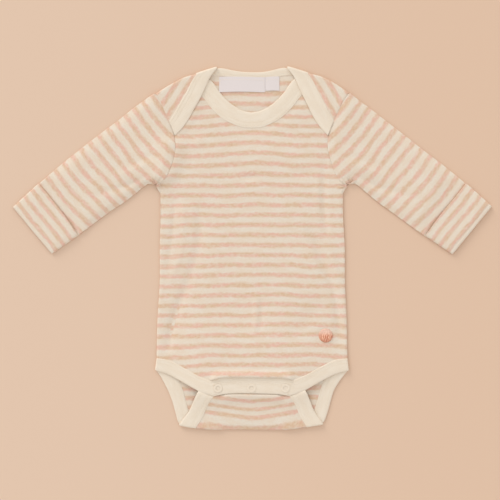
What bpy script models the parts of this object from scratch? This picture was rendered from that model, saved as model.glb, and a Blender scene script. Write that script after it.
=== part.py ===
"""A newborn's long-sleeved bodysuit with an envelope neck, laid flat with its front up.

The garment lies on z = 0, its neck towards +Y and its front towards +Z, with the origin under the middle
of its outline. Left means -X and right means +X. The tables hold one half: x is measured outwards from
the centre line and y up from the middle of the garment, all in millimetres. Each piece of cloth is a
middle surface, worked out from its edges, with an even wall round it.
"""

import math
from collections import namedtuple

import bmesh
import bpy
import numpy as np

MM = 0.001

# ---- walls ----
CLOTH = 1.0
RIB = 1.5
WOVEN = 0.5
SEAM = 0.3
SAG = 0.12

# ---- how high each layer's underside lies ----
GROUND = 0.0
FRONT_LEVEL = CLOTH + SEAM
CROTCH_LEVEL = RIB + SEAM
LAP_LEVEL = FRONT_LEVEL + RIB + SEAM
SLEEVE_LEVEL = CLOTH + 0.6
SLEEVE_LEVEL_AT_ARMHOLE = CLOTH + 1.8

# ---- the snapped front edge stands higher than its own level, by a smooth rise round the placket ----
CROTCH_RISE = 3.7
RISE_REACH = 30.0
RISE_HALF_WIDTH = 40.0
RISE_TOP = -134.0

# ---- snaps: radii and heights ----
SNAP_PITCH = 34.0
SNAP_Y = -142.8
CAP_OUTER, CAP_INNER, CAP_HEIGHT = 4.5, 2.4, 0.8
SOCKET_OUTER, SOCKET_INNER, SOCKET_HEIGHT = 4.6, 2.3, 0.9
STUD_RADIUS, STUD_BASE, POST_RADIUS, POST_HEIGHT = 4.6, 0.4, 1.9, 1.0

# ---- badge and labels ----
BADGE_X, BADGE_Y, BADGE_RADIUS, BADGE_HEIGHT = 76.2, -90.0, 7.15, 0.6
LABEL_LEFT, LABEL_RIGHT, LABEL_LOW, LABEL_HIGH = -31.7, 14.6, 158.9, 173.5
TAB_LEFT, TAB_RIGHT, TAB_LOW, TAB_HIGH = 15.0, 29.2, 160.4, 173.7

Mark = namedtuple("Mark", "x y")
Station = namedtuple("Station", "free_x free_y sewn_x sewn_y")

# ---- outlines of the panels, one half ----
SHOULDER_FOLD = (
    Mark(57.8, 177.2),
    Mark(71.3, 173.6),
    Mark(83.2, 167.3),
    Mark(97.2, 157.6),
)
ARMHOLE = (
    Mark(100.2, 67.2),
    Mark(94.5, 70.8),
    Mark(88, 77.5),
    Mark(82.3, 87.5),
    Mark(79, 97),
    Mark(78, 106.5),
    Mark(80.6, 121),
    Mark(84.4, 130.2),
    Mark(91.3, 146.8),
    Mark(97.2, 157.6),
)
# Shares of a line's length: where the front's and the lap's armhole edges end, where the lap's inner
# edge becomes its lower one, and how far up its bands the tongue reaches.
FRONT_ARMHOLE_SHARE = 0.78
LAP_ARMHOLE_SHARE = 0.7
LAP_CORNER_SHARE = 0.35
TONGUE_SHARE = 0.74
SIDE = (
    Mark(97.8, -111),
    Mark(96.2, -60),
    Mark(94.6, -12),
    Mark(93.3, 56),
)
CROTCH_FOLD = (
    Mark(0, -184.8),
    Mark(28, -184.3),
    Mark(55.8, -183.1),
)
FRONT_HEM = (
    Mark(0, -133.6),
    Mark(25, -133.7),
    Mark(35.5, -134.5),
    Mark(41.2, -136.2),
)

# ---- rib bands, one half: a row for each section, from its free edge to its sewn edge ----
FRONT_NECK_BAND = (
    Station(0, 137.8, 0, 121.7),
    Station(7, 139, 9.4, 122.6),
    Station(13.4, 141.9, 18.9, 126),
    Station(20.5, 146.6, 28, 131),
    Station(27, 152.5, 36, 137.6),
    Station(33, 159.3, 43, 145.2),
    Station(38, 166.5, 48.5, 152.5),
    Station(44.5, 172.4, 54.7, 157.9),
    Station(55, 174.6, 62.8, 158.9),
    Station(68, 171, 71.2, 155.4),
    Station(80, 164.6, 80.3, 148.9),
    Station(94.8, 154.6, 88.6, 141),
)
BACK_NECK_BAND = (
    Station(0, 179.1, 0, 174),
    Station(10, 179.7, 12, 174.1),
    Station(18.5, 181.4, 22, 174.8),
    Station(27.5, 183.1, 34, 176.4),
    Station(35.9, 184, 57.3, 177.8),
)
LAP_BAND = (
    Station(35.9, 184, 57.3, 177.8),
    Station(42.3, 174.4, 59.2, 174.6),
    Station(46.6, 165.5, 61.9, 169.4),
    Station(50.5, 156.7, 65.6, 161.8),
    Station(57.3, 143.8, 71.9, 150.4),
    Station(63, 133.2, 77.6, 139.8),
    Station(69.7, 123.5, 81.4, 133.2),
    Station(78.4, 114.4, 83.7, 129.6),
)
LEG_BAND_FRONT = (
    Station(37.8, -151.8, 41.4, -136.5),
    Station(46, -148.8, 48.2, -133),
    Station(55, -145, 56.6, -128.8),
    Station(71.5, -135.7, 70.7, -120.9),
    Station(86, -128.3, 85, -114),
    Station(97.7, -124.9, 96.4, -112.2),
)
LEG_BAND_BACK = (
    Station(97.7, -124.9, 96.4, -112.2),
    Station(91.9, -133.4, 85.3, -119.3),
    Station(86.2, -144, 76.4, -130.7),
    Station(82, -154.5, 70.6, -144.1),
    Station(78.3, -166.5, 66.5, -158.6),
    Station(75.4, -175.5, 62.3, -171.2),
    Station(73.3, -180.1, 56.2, -183.2),
)
LEG_BAND_TONGUE = (
    Station(73.3, -180.1, 56.2, -183.2),
    Station(64.2, -166.5, 49.8, -172.3),
    Station(59.6, -156, 44.3, -159.9),
    Station(54.5, -145, 36.9, -149),
    Station(48.5, -135.4, 31.2, -139.5),
)

# ---- the two crotch strips, one half ----
FRONT_PLACKET_LOW = (
    Mark(0, -149.6),
    Mark(20, -150),
    Mark(37.4, -151.7),
)
FRONT_PLACKET_CORNER = Mark(40.8, -136.6)
BACK_PLACKET_LOW = (Mark(0, -148.6), Mark(36.2, -148.6))
BACK_PLACKET_HIGH = (Mark(0, -135.8), Mark(28.6, -135.8))

# ---- sleeve and mitt, the right one ----
SLEEVE_TOP = (
    Mark(99.6, 158.9),
    Mark(120, 143.5),
    Mark(134.8, 131.6),
    Mark(153.3, 117.6),
    Mark(179.4, 97.2),
    Mark(197.8, 83),
    Mark(215, 68.4),
    Mark(231, 54),
    Mark(244.4, 41.8),
)
SLEEVE_BOTTOM = (
    Mark(101.8, 68.4),
    Mark(109.5, 64),
    Mark(120, 54.8),
    Mark(131, 46),
    Mark(150.3, 32.2),
    Mark(169.4, 17.8),
    Mark(181.8, 9),
    Mark(194, 0.6),
    Mark(204, -6.4),
)
SLEEVE_HEAD = (
    Mark(98.4, 157.4),
    Mark(91.7, 146.4),
    Mark(84.9, 130),
    Mark(81.1, 120.8),
    Mark(78.5, 106.5),
    Mark(79.5, 97.2),
    Mark(82.8, 87.8),
    Mark(88.4, 77.9),
    Mark(94.8, 71.3),
    Mark(102.7, 69.9),
)
MITT_MOUTH = (
    Mark(217.8, 65.2),
    Mark(205, 49.5),
    Mark(192.5, 34),
    Mark(178.4, 13.6),
)
MITT_CUFF = (
    Mark(242.6, 40.6),
    Mark(223.3, 17.6),
    Mark(204.4, -4.9),
)

# ---- colours: red, green, blue, roughness ----
STRIPED_JERSEY = (0.80, 0.66, 0.53, 0.9)
CREAM_RIB = (0.85, 0.76, 0.62, 0.9)
WHITE_SATIN = (0.86, 0.85, 0.88, 0.6)
SNAP_CREAM = (0.84, 0.75, 0.62, 0.45)
ROSE_BADGE = (0.75, 0.40, 0.28, 0.4)


def curve(marks):
    """Close points along a smooth curve through the marks (a Catmull-Rom curve)."""
    knots = np.array(marks, float)
    outer = np.vstack([2 * knots[0] - knots[1], knots, 2 * knots[-1] - knots[-2]])
    t = np.linspace(0, 1, 16, endpoint=False)[:, None]
    fine = []
    for a, b, c, d in zip(outer, outer[1:], outer[2:], outer[3:]):
        cubic = (2 * a - 5 * b + 4 * c - d) * t**2 + (3 * b - 3 * c + d - a) * t**3
        fine.append(b + 0.5 * ((c - a) * t + cubic))
    return np.vstack(fine + [knots[-1:]])


def even(points, count, start=0.0, stop=1.0):
    """The stretch of a line from share start to share stop of its length, in count equal steps.

    A row of four numbers is a band's section, and the length is then that of the band's middle line.
    """
    middle = points.reshape(len(points), -1, 2).mean(axis=1)
    steps = np.linalg.norm(np.diff(middle, axis=0), axis=1)
    length = np.concatenate([[0], np.cumsum(steps)])
    where = np.linspace(start, stop, count + 1) * length[-1]
    return np.column_stack([np.interp(where, length, column) for column in points.T])


def spline(marks, count):
    """Points evenly spaced along a smooth curve through the marks."""
    return even(curve(marks), count)


def seam_line(band, side):
    """The edge of the panel sewn to a band, clear of it on its left (1) or right (-1).

    The clearance is a seam's width and what the straight steps may cut off a curve.
    """
    sewn = curve(band)[:, 2:]
    return sewn + side * (SEAM + SAG) * left_normals(sewn)


def run(*parts):
    """Runs of points joined end to end, each shared corner kept once."""
    return np.vstack([parts[0]] + [part[1:] for part in parts[1:]])


def left_normals(points):
    """Unit vectors square to a line in plan, pointing to the left of the way it runs."""
    along = np.gradient(points, axis=0)
    along /= np.linalg.norm(along, axis=1)[:, None]
    return np.column_stack([-along[:, 1], along[:, 0]])


def patch(low, high, left, right):
    """The grid between four edges: low and high run left to right, left and right run upwards.

    Coons' formula: the blend of the sides, plus the blend of the ends, less the blend of the corners.
    """
    u = np.linspace(0, 1, len(low))[:, None, None]
    v = np.linspace(0, 1, len(left))[None, :, None]
    sides = (1 - u) * left[None] + u * right[None]
    ends = (1 - v) * low[:, None] + v * high[:, None]
    corners = (1 - u) * ((1 - v) * low[0] + v * high[0]) + u * ((1 - v) * low[-1] + v * high[-1])
    return sides + ends - corners


def between(low, high, count):
    """The grid of a four-sided piece with straight edges, one step high, between its low and high ends."""
    low, high = spline(low, count), spline(high, count)
    return patch(low, high, np.array((low[0], high[0])), np.array((low[-1], high[-1])))


def raised(plan, height):
    """Plan points given a height, which is one number or one for each point."""
    return np.concatenate([plan, np.broadcast_to(height, plan.shape[:-1])[..., None]], axis=-1)


def mirrored(grids):
    """The same grids on the other side of the centre line."""
    return [grid * (-1, 1, 1) for grid in grids]


def turn(line, outward, low, high, steps=4):
    """The turn of folded cloth: half a circle on a line in plan, from height low up to height high."""
    angle = np.linspace(0, math.pi, steps + 1)[None, :]
    radius = np.broadcast_to((np.asarray(high) - low) / 2, len(line))[:, None]
    plan = line[:, None, :] + outward[:, None, :] * (radius * np.sin(angle))[..., None]
    return raised(plan, low + radius - radius * np.cos(angle))


def crotch_rise(plan):
    """How far the front stands up round the snapped placket: all of it there, fading to none."""
    aside = np.maximum(np.abs(plan[..., 0]) - RISE_HALF_WIDTH, 0)
    above = np.maximum(plan[..., 1] - RISE_TOP, 0)
    share = np.clip(1 - np.hypot(aside, above) / RISE_REACH, 0, 1)
    return CROTCH_RISE * share**2 * (3 - 2 * share)


def strip(stations, count, across=2):
    """A band's plan grid: sections evenly spaced along it, each from the free edge to the sewn edge."""
    ends = spline(stations, count)
    share = np.linspace(0, 1, across + 1)[None, :, None]
    return (1 - share) * ends[:, None, :2] + share * ends[:, None, 2:]


def finish(name, look):
    """A plain material of one colour and roughness."""
    material = bpy.data.materials.new(name)
    material.use_nodes = True
    shader = material.node_tree.nodes["Principled BSDF"]
    shader.inputs["Base Color"].default_value = (*look[:3], 1)
    shader.inputs["Roughness"].default_value = look[3]
    shader.inputs["Metallic"].default_value = 0.0
    return material


def add_object(name, shape, look):
    """A smooth-shaded object of the bmesh, with its own material."""
    mesh = bpy.data.meshes.new(name)
    shape.to_mesh(mesh)
    shape.free()
    mesh.shade_smooth()
    mesh.set_sharp_from_angle(angle=math.radians(50))
    mesh.materials.append(finish(name, look))
    thing = bpy.data.objects.new(name, mesh)
    bpy.context.scene.collection.objects.link(thing)
    return thing


def cloth(name, grids, wall, look):
    """Grids of middle-surface points, welded where they meet, with a wall of even thickness."""
    shape = bmesh.new()
    for grid in grids:
        rows = [[shape.verts.new(point * MM) for point in row] for row in grid]
        for low, high in zip(rows, rows[1:]):
            for a, b, c, d in zip(low, low[1:], high[1:], high):
                shape.faces.new((a, b, c, d))
    bmesh.ops.remove_doubles(shape, verts=shape.verts, dist=1e-6)
    bmesh.ops.recalc_face_normals(shape, faces=shape.faces)
    thing = add_object(name, shape, look)
    solidify = thing.modifiers.new("wall", "SOLIDIFY")
    solidify.thickness = wall * MM
    solidify.offset = 0
    return thing


def turned(name, profile, place, look, sides=18):
    """A solid of revolution: the profile (radius, height) spun about a vertical axis at a place."""
    shape = bmesh.new()
    points = [shape.verts.new((radius * MM, 0, height * MM)) for radius, height in profile]
    pairs = list(zip(points, points[1:]))
    if profile[0][0] > 0:
        pairs.append((points[-1], points[0]))
    edges = [shape.edges.new(pair) for pair in pairs]
    bmesh.ops.spin(
        shape, geom=points + edges, cent=(0, 0, 0), axis=(0, 0, 1), angle=2 * math.pi, steps=sides
    )
    bmesh.ops.remove_doubles(shape, verts=shape.verts, dist=1e-6)
    bmesh.ops.recalc_face_normals(shape, faces=shape.faces)
    thing = add_object(name, shape, look)
    thing.location = [part * MM for part in place]
    return thing


def centre_line(low, high, outer):
    """Points up the centre line from low to high, spaced as the outer edge's points are."""
    share = (outer[:, 1] - outer[0, 1]) / (outer[-1, 1] - outer[0, 1])
    return np.column_stack([np.zeros_like(share), low + share * (high - low)])


def make_back_panel():
    """The back: its flat layer, a lap folded over each shoulder and the tongue folded over the crotch."""
    middle = GROUND + CLOTH / 2
    neck, fold = even(seam_line(BACK_NECK_BAND, -1), 5), spline(SHOULDER_FOLD, 4)
    crotch = spline(CROTCH_FOLD, 9)
    leg = even(seam_line(LEG_BAND_BACK, -1)[::-1], 10)
    neck[-1], leg[0], leg[-1] = fold[0], crotch[-1], SIDE[0]
    outer = run(leg, spline(SIDE, 5), np.array((SIDE[-1], ARMHOLE[0])), spline(ARMHOLE, 9))
    centre = centre_line(crotch[0, 1], neck[0, 1], outer)
    flat = raised(patch(crotch, run(neck, fold), centre, outer), middle)

    lap_height = LAP_LEVEL + CLOTH / 2
    shoulder = turn(fold, left_normals(fold), middle, lap_height)
    edge = seam_line(LAP_BAND, 1)
    edge[0] = fold[0]
    inner, lower = even(edge, 3, stop=LAP_CORNER_SHARE), even(edge, 4, start=LAP_CORNER_SHARE)
    armhole = even(curve(ARMHOLE), 3, start=LAP_ARMHOLE_SHARE)[::-1]
    lower[-1] = armhole[-1]
    lap = raised(patch(fold, lower, inner, armhole), lap_height)

    tongue_height = CROTCH_LEVEL + CLOTH / 2
    under = turn(crotch, -left_normals(crotch), middle, tongue_height)
    side = even(seam_line(LEG_BAND_TONGUE, 1), 4, stop=TONGUE_SHARE)
    side[0] = crotch[-1]
    end = side[-1] * np.column_stack([np.linspace(0, 1, len(crotch)), np.ones(len(crotch))])
    tongue = raised(patch(crotch, end, centre_line(crotch[0, 1], end[0, 1], side), side), tongue_height)

    half = [flat, shoulder, lap, under, tongue]
    return cloth("back_panel", half + mirrored(half), CLOTH, STRIPED_JERSEY)


def make_front_panel():
    """The front, from the neck curve to the placket and leg curves, rising towards the snapped edge."""
    hem, leg = spline(FRONT_HEM, 5), even(seam_line(LEG_BAND_FRONT, 1), 7)
    leg[0], leg[-1] = hem[-1], SIDE[0]
    neck = even(seam_line(FRONT_NECK_BAND, -1), 12)
    armhole = even(curve(ARMHOLE), 7, stop=FRONT_ARMHOLE_SHARE)
    neck[-1] = armhole[-1]
    outer = run(spline(SIDE, 6), np.array((SIDE[-1], ARMHOLE[0])), armhole)
    centre = centre_line(hem[0, 1], neck[0, 1], outer)
    plan = patch(run(hem, leg), neck, centre, outer)
    half = [raised(plan, FRONT_LEVEL + CLOTH / 2 + crotch_rise(plan))]
    return cloth("front_panel", half + mirrored(half), CLOTH, STRIPED_JERSEY)


def sleeve_grid():
    """The right sleeve as a flattened tube: upper layer, turn, lower layer and turn, round each section."""
    along, across = 12, 6
    head = spline(SLEEVE_HEAD, across)
    cuff = spline((SLEEVE_TOP[-1], SLEEVE_BOTTOM[-1]), across)
    share = np.linspace(0, 1, along + 1)
    upper = SLEEVE_LEVEL + (SLEEVE_LEVEL_AT_ARMHOLE - SLEEVE_LEVEL) * (1 - share) ** 2 + CLOTH / 2
    lower = GROUND + CLOTH / 2
    inset = ((upper - lower) / 2 + CLOTH / 2)[:, None]
    top, bottom = spline(SLEEVE_TOP, along), spline(SLEEVE_BOTTOM, along)
    top_out, bottom_out = left_normals(top), -left_normals(bottom)
    top, bottom = top - top_out * inset, bottom - bottom_out * inset
    cuff_way = (cuff[-1] - cuff[0]) / np.linalg.norm(cuff[-1] - cuff[0])
    cuff = cuff[0] + cuff_way * np.linspace(
        (top[-1] - cuff[0]) @ cuff_way, (bottom[-1] - cuff[0]) @ cuff_way, across + 1
    )[:, None]
    top[-1], bottom[-1] = cuff[0], cuff[-1]
    top[0], bottom[0] = head[0], head[-1]
    plan = patch(head, cuff, top, bottom)
    over = raised(plan, upper)
    under = raised(plan, lower)[::-1]
    at_bottom = turn(bottom, bottom_out, lower, upper).transpose(1, 0, 2)[::-1]
    at_top = turn(top, top_out, lower, upper).transpose(1, 0, 2)
    return np.concatenate([over, at_bottom[1:], under[1:], at_top[1:]])


def make_sleeves():
    """Both sleeves, with the fold-over mitt lying on each one's end."""
    tube = sleeve_grid()
    mouth, cuff = spline(MITT_MOUTH, 6), spline(MITT_CUFF, 6)
    top = spline((MITT_MOUTH[0], MITT_CUFF[0]), 4)
    bottom = spline((MITT_MOUTH[-1], MITT_CUFF[-1]), 4)
    flap = raised(patch(mouth, cuff, top, bottom), SLEEVE_LEVEL + CLOTH + SEAM + CLOTH / 2)
    cloth("sleeve_right", [tube], CLOTH, STRIPED_JERSEY)
    cloth("sleeve_left", mirrored([tube]), CLOTH, STRIPED_JERSEY)
    cloth("mitt_flap_right", [flap], CLOTH, STRIPED_JERSEY)
    cloth("mitt_flap_left", mirrored([flap]), CLOTH, STRIPED_JERSEY)


def make_neck_bands():
    """The front neck band, and the back one that also edges both laps and folds over at the shoulders."""
    front = [raised(strip(FRONT_NECK_BAND, 20), FRONT_LEVEL + RIB / 2)]
    cloth("front_neck_band", front + mirrored(front), RIB, CREAM_RIB)

    middle, lap_height = GROUND + RIB / 2, LAP_LEVEL + RIB / 2
    behind, lap = strip(BACK_NECK_BAND, 7), strip(LAP_BAND, 12)
    line = behind[-1]
    fold = turn(line, left_normals(line), middle, lap_height)
    half = [raised(behind, middle), fold, raised(lap, lap_height)]
    cloth("back_neck_band", half + mirrored(half), RIB, CREAM_RIB)


def make_leg_bands():
    """Each leg's band: along the front, round the side, down the back, round the crotch, up the tongue."""
    low, high = GROUND + RIB / 2, CROTCH_LEVEL + RIB / 2
    front, back, tongue = strip(LEG_BAND_FRONT, 10), strip(LEG_BAND_BACK, 10), strip(LEG_BAND_TONGUE, 7)
    grids = [
        raised(front, high + crotch_rise(front)),
        turn(back[0], -left_normals(back[0]), low, high),
        raised(back, low),
        turn(back[-1], left_normals(back[-1]), low, high),
        raised(tongue, high),
    ]
    cloth("leg_band_right", grids, RIB, CREAM_RIB)
    cloth("leg_band_left", mirrored(grids), RIB, CREAM_RIB)


def make_plackets():
    """The front crotch strip, and the strip under it on the tongue's end that carries the studs."""
    top = spline(FRONT_HEM, 5) - (0, SEAM + SAG)
    top[-1] = FRONT_PLACKET_CORNER
    low = spline(FRONT_PLACKET_LOW, 5)
    centre = spline((Mark(*low[0]), Mark(*top[0])), 2)
    side = spline((Mark(*low[-1]), Mark(*top[-1])), 2)
    plan = patch(low, top, centre, side)
    half = [raised(plan, CROTCH_LEVEL + CROTCH_RISE + RIB / 2)]
    cloth("front_placket", half + mirrored(half), RIB, CREAM_RIB)

    half = [raised(between(BACK_PLACKET_LOW, BACK_PLACKET_HIGH, 4), CROTCH_LEVEL + RIB / 2)]
    cloth("back_placket", half + mirrored(half), RIB, CREAM_RIB)


def make_labels():
    """The woven neck label and the small tab beside it, lying on the inside of the back."""
    for name, left, right, low, high in (
        ("neck_label", LABEL_LEFT, LABEL_RIGHT, LABEL_LOW, LABEL_HIGH),
        ("size_tab", TAB_LEFT, TAB_RIGHT, TAB_LOW, TAB_HIGH),
    ):
        edges = (Mark(left, low), Mark(right, low)), (Mark(left, high), Mark(right, high))
        grid = raised(between(*edges, 3), CLOTH + SEAM + WOVEN / 2)
        cloth(name, [grid], WOVEN, WHITE_SATIN)


def make_snaps():
    """Three ring snaps, fastened: cap above the placket, socket under it, stud on the tongue's strip."""
    stud_z = CROTCH_LEVEL + RIB + SEAM
    socket_z = CROTCH_LEVEL + CROTCH_RISE - SEAM - SOCKET_HEIGHT
    cap_z = CROTCH_LEVEL + CROTCH_RISE + RIB + SEAM
    cap = (
        (CAP_INNER, 0),
        (CAP_OUTER, 0),
        (CAP_OUTER, 0.5 * CAP_HEIGHT),
        (0.9 * CAP_OUTER, CAP_HEIGHT),
        (1.2 * CAP_INNER, CAP_HEIGHT),
        (CAP_INNER, 0.5 * CAP_HEIGHT),
    )
    socket = (
        (SOCKET_INNER, 0),
        (SOCKET_OUTER, 0),
        (SOCKET_OUTER, SOCKET_HEIGHT),
        (SOCKET_INNER, SOCKET_HEIGHT),
    )
    stud = (
        (0, 0),
        (STUD_RADIUS, 0),
        (STUD_RADIUS, STUD_BASE),
        (POST_RADIUS, STUD_BASE),
        (POST_RADIUS, STUD_BASE + POST_HEIGHT),
        (0, STUD_BASE + POST_HEIGHT),
    )
    for number, side in ((-1, "left"), (0, "centre"), (1, "right")):
        x = number * SNAP_PITCH
        turned("snap_cap_" + side, cap, (x, SNAP_Y, cap_z), SNAP_CREAM)
        turned("snap_socket_" + side, socket, (x, SNAP_Y, socket_z), SNAP_CREAM)
        turned("snap_stud_" + side, stud, (x, SNAP_Y, stud_z), SNAP_CREAM)


def make_badge():
    """The small round patch near the hem, with a rounded rim."""
    profile = (
        (0, 0),
        (BADGE_RADIUS, 0),
        (BADGE_RADIUS, 0.5 * BADGE_HEIGHT),
        (0.95 * BADGE_RADIUS, BADGE_HEIGHT),
        (0, BADGE_HEIGHT),
    )
    place = (BADGE_X, BADGE_Y, FRONT_LEVEL + CLOTH + SEAM)
    turned("hem_badge", profile, place, ROSE_BADGE, sides=28)


def main():
    for thing in list(bpy.data.objects):
        bpy.data.objects.remove(thing)
    make_back_panel()
    make_front_panel()
    make_sleeves()
    make_neck_bands()
    make_leg_bands()
    make_plackets()
    make_labels()
    make_snaps()
    make_badge()


main()
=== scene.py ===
"""The looks of a newborn's long-sleeved bodysuit with an envelope neck, laid flat with its front up.

Every piece of cloth is a closed shell of thin jersey, or a rib binding folded round the cloth's edge, on
the form of its CAD solid. The tables are in millimetres, y up towards the neck. They hold the right
half, x outwards from the centre line, and the left is its mirror image. Only the front's creases and the
shifts have places of their own on both halves; a crease of the back or the tongue that starts on the
left counts only on the right. The garment's outside is the outer side of each shell. Cloth has a chart,
a UV map in metres with the knit's rows along U, so that stripes, ribs and stitches follow the cloth over
its folds. Pieces that are sewn together don't meet edge to edge: their shells run a little way into each
other.
"""

import math
from collections import namedtuple

import bpy
import numpy as np
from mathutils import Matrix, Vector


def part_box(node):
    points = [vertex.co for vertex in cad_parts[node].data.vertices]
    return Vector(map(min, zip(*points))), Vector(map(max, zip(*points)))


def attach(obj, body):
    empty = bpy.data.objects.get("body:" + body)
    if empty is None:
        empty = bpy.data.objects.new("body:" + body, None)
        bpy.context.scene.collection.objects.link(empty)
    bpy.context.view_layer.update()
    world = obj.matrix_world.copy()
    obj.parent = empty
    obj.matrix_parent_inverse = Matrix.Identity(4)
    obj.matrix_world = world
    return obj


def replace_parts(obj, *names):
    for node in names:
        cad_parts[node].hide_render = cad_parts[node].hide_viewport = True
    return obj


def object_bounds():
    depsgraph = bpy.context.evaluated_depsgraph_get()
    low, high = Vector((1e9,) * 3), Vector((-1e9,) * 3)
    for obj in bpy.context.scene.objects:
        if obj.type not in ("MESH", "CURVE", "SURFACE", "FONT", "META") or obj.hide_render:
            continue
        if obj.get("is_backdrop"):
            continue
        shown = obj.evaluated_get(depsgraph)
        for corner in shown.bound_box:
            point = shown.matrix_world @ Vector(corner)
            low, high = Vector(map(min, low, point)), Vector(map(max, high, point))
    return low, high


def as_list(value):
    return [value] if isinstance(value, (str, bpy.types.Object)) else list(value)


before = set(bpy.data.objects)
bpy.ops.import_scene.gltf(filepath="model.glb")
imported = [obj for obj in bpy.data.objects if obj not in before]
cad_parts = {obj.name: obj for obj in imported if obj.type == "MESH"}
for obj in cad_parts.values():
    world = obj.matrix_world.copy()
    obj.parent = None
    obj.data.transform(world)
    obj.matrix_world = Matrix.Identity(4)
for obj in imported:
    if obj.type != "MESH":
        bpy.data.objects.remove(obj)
CAD_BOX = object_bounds()

MM = 0.001

# ---- cloth: walls and seams ----
JERSEY = 0.64
RIB = 1.5
SATIN = 0.3
TUCK = 3.0
MOST_TUCK = 0.4
SEAM_DITCH = 0.35
STRIPE = 10.0


def underside(node):
    """How high a CAD node's lowest point lies, in millimetres."""
    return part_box(node)[0].z / MM


def middle_of(node, axis):
    """Where the middle of a CAD node's box lies along an axis, in millimetres."""
    return sum(corner[axis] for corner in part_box(node)) / 2 / MM


def rows_of(kind, *rows):
    """A table's rows, with their columns named."""
    return tuple(kind(*row) for row in rows)


def crease_table(*lines):
    """Creases, each a line of rows."""
    return tuple(rows_of(Crease, *line) for line in lines)


# ---- how high each layer's middle lies ----
BACK_LEVEL = 0.45
BACK_BAND_LEVEL = 0.94
FRONT_LEVEL = underside("front_neck_band") + RIB / 2
CROTCH_LEVEL = underside("back_placket") + RIB / 2
LAP_LEVEL = FRONT_LEVEL + RIB + 0.12
LAP_SINK = 0.5
CUFF_LEVEL = 2.1
MITT_LEVEL = 3.15
PLACKET_LEVEL = underside("front_placket") + RIB / 2
CAP_LEVEL = underside("snap_cap_centre")
SNAP_Y = middle_of("snap_cap_centre", 1)
SNAP_PITCH = middle_of("snap_cap_right", 0)

# ---- the snapped front edge stands higher than the rest, by a smooth rise round the placket ----
CROTCH_RISE = PLACKET_LEVEL - CROTCH_LEVEL
RISE_REACH, RISE_REACH_ASIDE = 78.0, 60.0
RISE_HALF_WIDTH = 36.0
RISE_TOP = -134.0

Mark = namedtuple("Mark", "x y")
BADGE = Mark(*(middle_of("hem_badge", axis) for axis in range(2)))
Station = namedtuple("Station", "free_x free_y sewn_x sewn_y")
Crease = namedtuple("Crease", "x y depth width")
Fold = namedtuple("Fold", "share height")
Row = namedtuple("Row", "y stripes")
Shift = namedtuple("Shift", "x y aside up reach")

# ---- outlines of the panels ----
SHOULDER_FOLD = rows_of(Mark, (54, 177), (58.2, 175.4), (70.4, 171.9), (82.1, 165.7), (96.3, 156.3))
ARMHOLE = rows_of(
    Mark, (97.6, 63.8), (92.7, 66.8), (86.9, 72.6), (81.9, 83.7), (78.8, 95.5), (78, 106.5), (80.6, 121),
    (84.4, 130.2), (91, 146.8), (96.3, 156.3),
)
FRONT_ARMHOLE_SHARE = 0.847
LAP_ARMHOLE_SHARE = 0.668
LAP_CORNER_SHARE = 0.35
TONGUE_SHARE = 0.842
SIDE = rows_of(Mark, (96.8, -115.2), (97.6, -106), (96.2, -60), (94.6, -12), (93.3, 56))
CROTCH_FOLD = rows_of(Mark, (0, -185.4), (28, -184.9), (55.8, -182.4))

# ---- bindings: a row for each section, from its free edge to its sewn edge ----
FRONT_NECK_BAND = rows_of(
    Station, (0, 137.8, 0, 121.7), (7, 139, 9.4, 122.6), (13.4, 141.9, 18.9, 126), (20.5, 146.6, 28, 131),
    (27, 152.5, 36, 137.6), (33, 159.3, 43, 145.2), (38, 166.5, 48.5, 152.5), (44.5, 172.4, 54.7, 157.9),
    (55, 174.6, 62.8, 158.9), (68, 171, 71.2, 155.4), (80, 164.6, 80.3, 148.9), (94.8, 154.6, 88.6, 141),
)
BACK_NECK_BAND = rows_of(
    Station, (0, 179.5, 0, 173.7), (10, 179.8, 12, 173.8), (18.5, 181, 22, 174.1), (27, 182.7, 34, 175.2),
    (32, 183.4, 45, 175.9), (35.5, 182.9, 56.8, 176.2),
)
LAP_BAND = rows_of(
    Station, (35.5, 182.9, 56.8, 176.2), (42.3, 174, 59, 173.6), (46.6, 165.5, 61.9, 169.4),
    (50.5, 156.7, 65.6, 161.8), (57.3, 143.8, 71.9, 150.4), (63, 133.2, 77.6, 139.8),
    (69.7, 123.5, 81.4, 133.2), (78.4, 114.4, 83.7, 129.6),
)
LEG_BAND_FRONT = rows_of(
    Station, (37.9, -150.9, 41, -135.3), (46, -148.4, 48, -132.5), (55, -144.8, 56.6, -128.7),
    (71.5, -135.7, 70.7, -120.9), (86, -128.3, 85, -114), (97.7, -124.9, 96.4, -112.2),
)
LEG_BAND_BACK = rows_of(
    Station, (97.7, -124.9, 96.4, -112.2), (91.9, -133.4, 85.3, -119.3), (86.2, -144, 76.4, -130.7),
    (82, -154.5, 70.6, -144.1), (78.3, -166.5, 66.5, -158.6), (75.4, -175.5, 62.3, -171.2),
    (73.3, -179.3, 56.2, -182.3),
)
LEG_BAND_TONGUE = rows_of(
    Station, (73.3, -179.3, 56.2, -182.3), (64.2, -166.5, 49.8, -172.3), (59.6, -156, 44.3, -159.9),
    (54.5, -145, 36.9, -149), (48.5, -135.4, 31.2, -139.5),
)
PLACKET = rows_of(
    Station, (0, -148.3, 0, -132.3), (20, -148.6, 20, -132.4), (31, -149.6, 33, -133.1),
    (37.9, -150.9, 41, -135.3),
)
STUD_STRIP = rows_of(Station, (0, -135.8, 0, -147.3), (28.6, -135.8, 36.2, -147.3))

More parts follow.
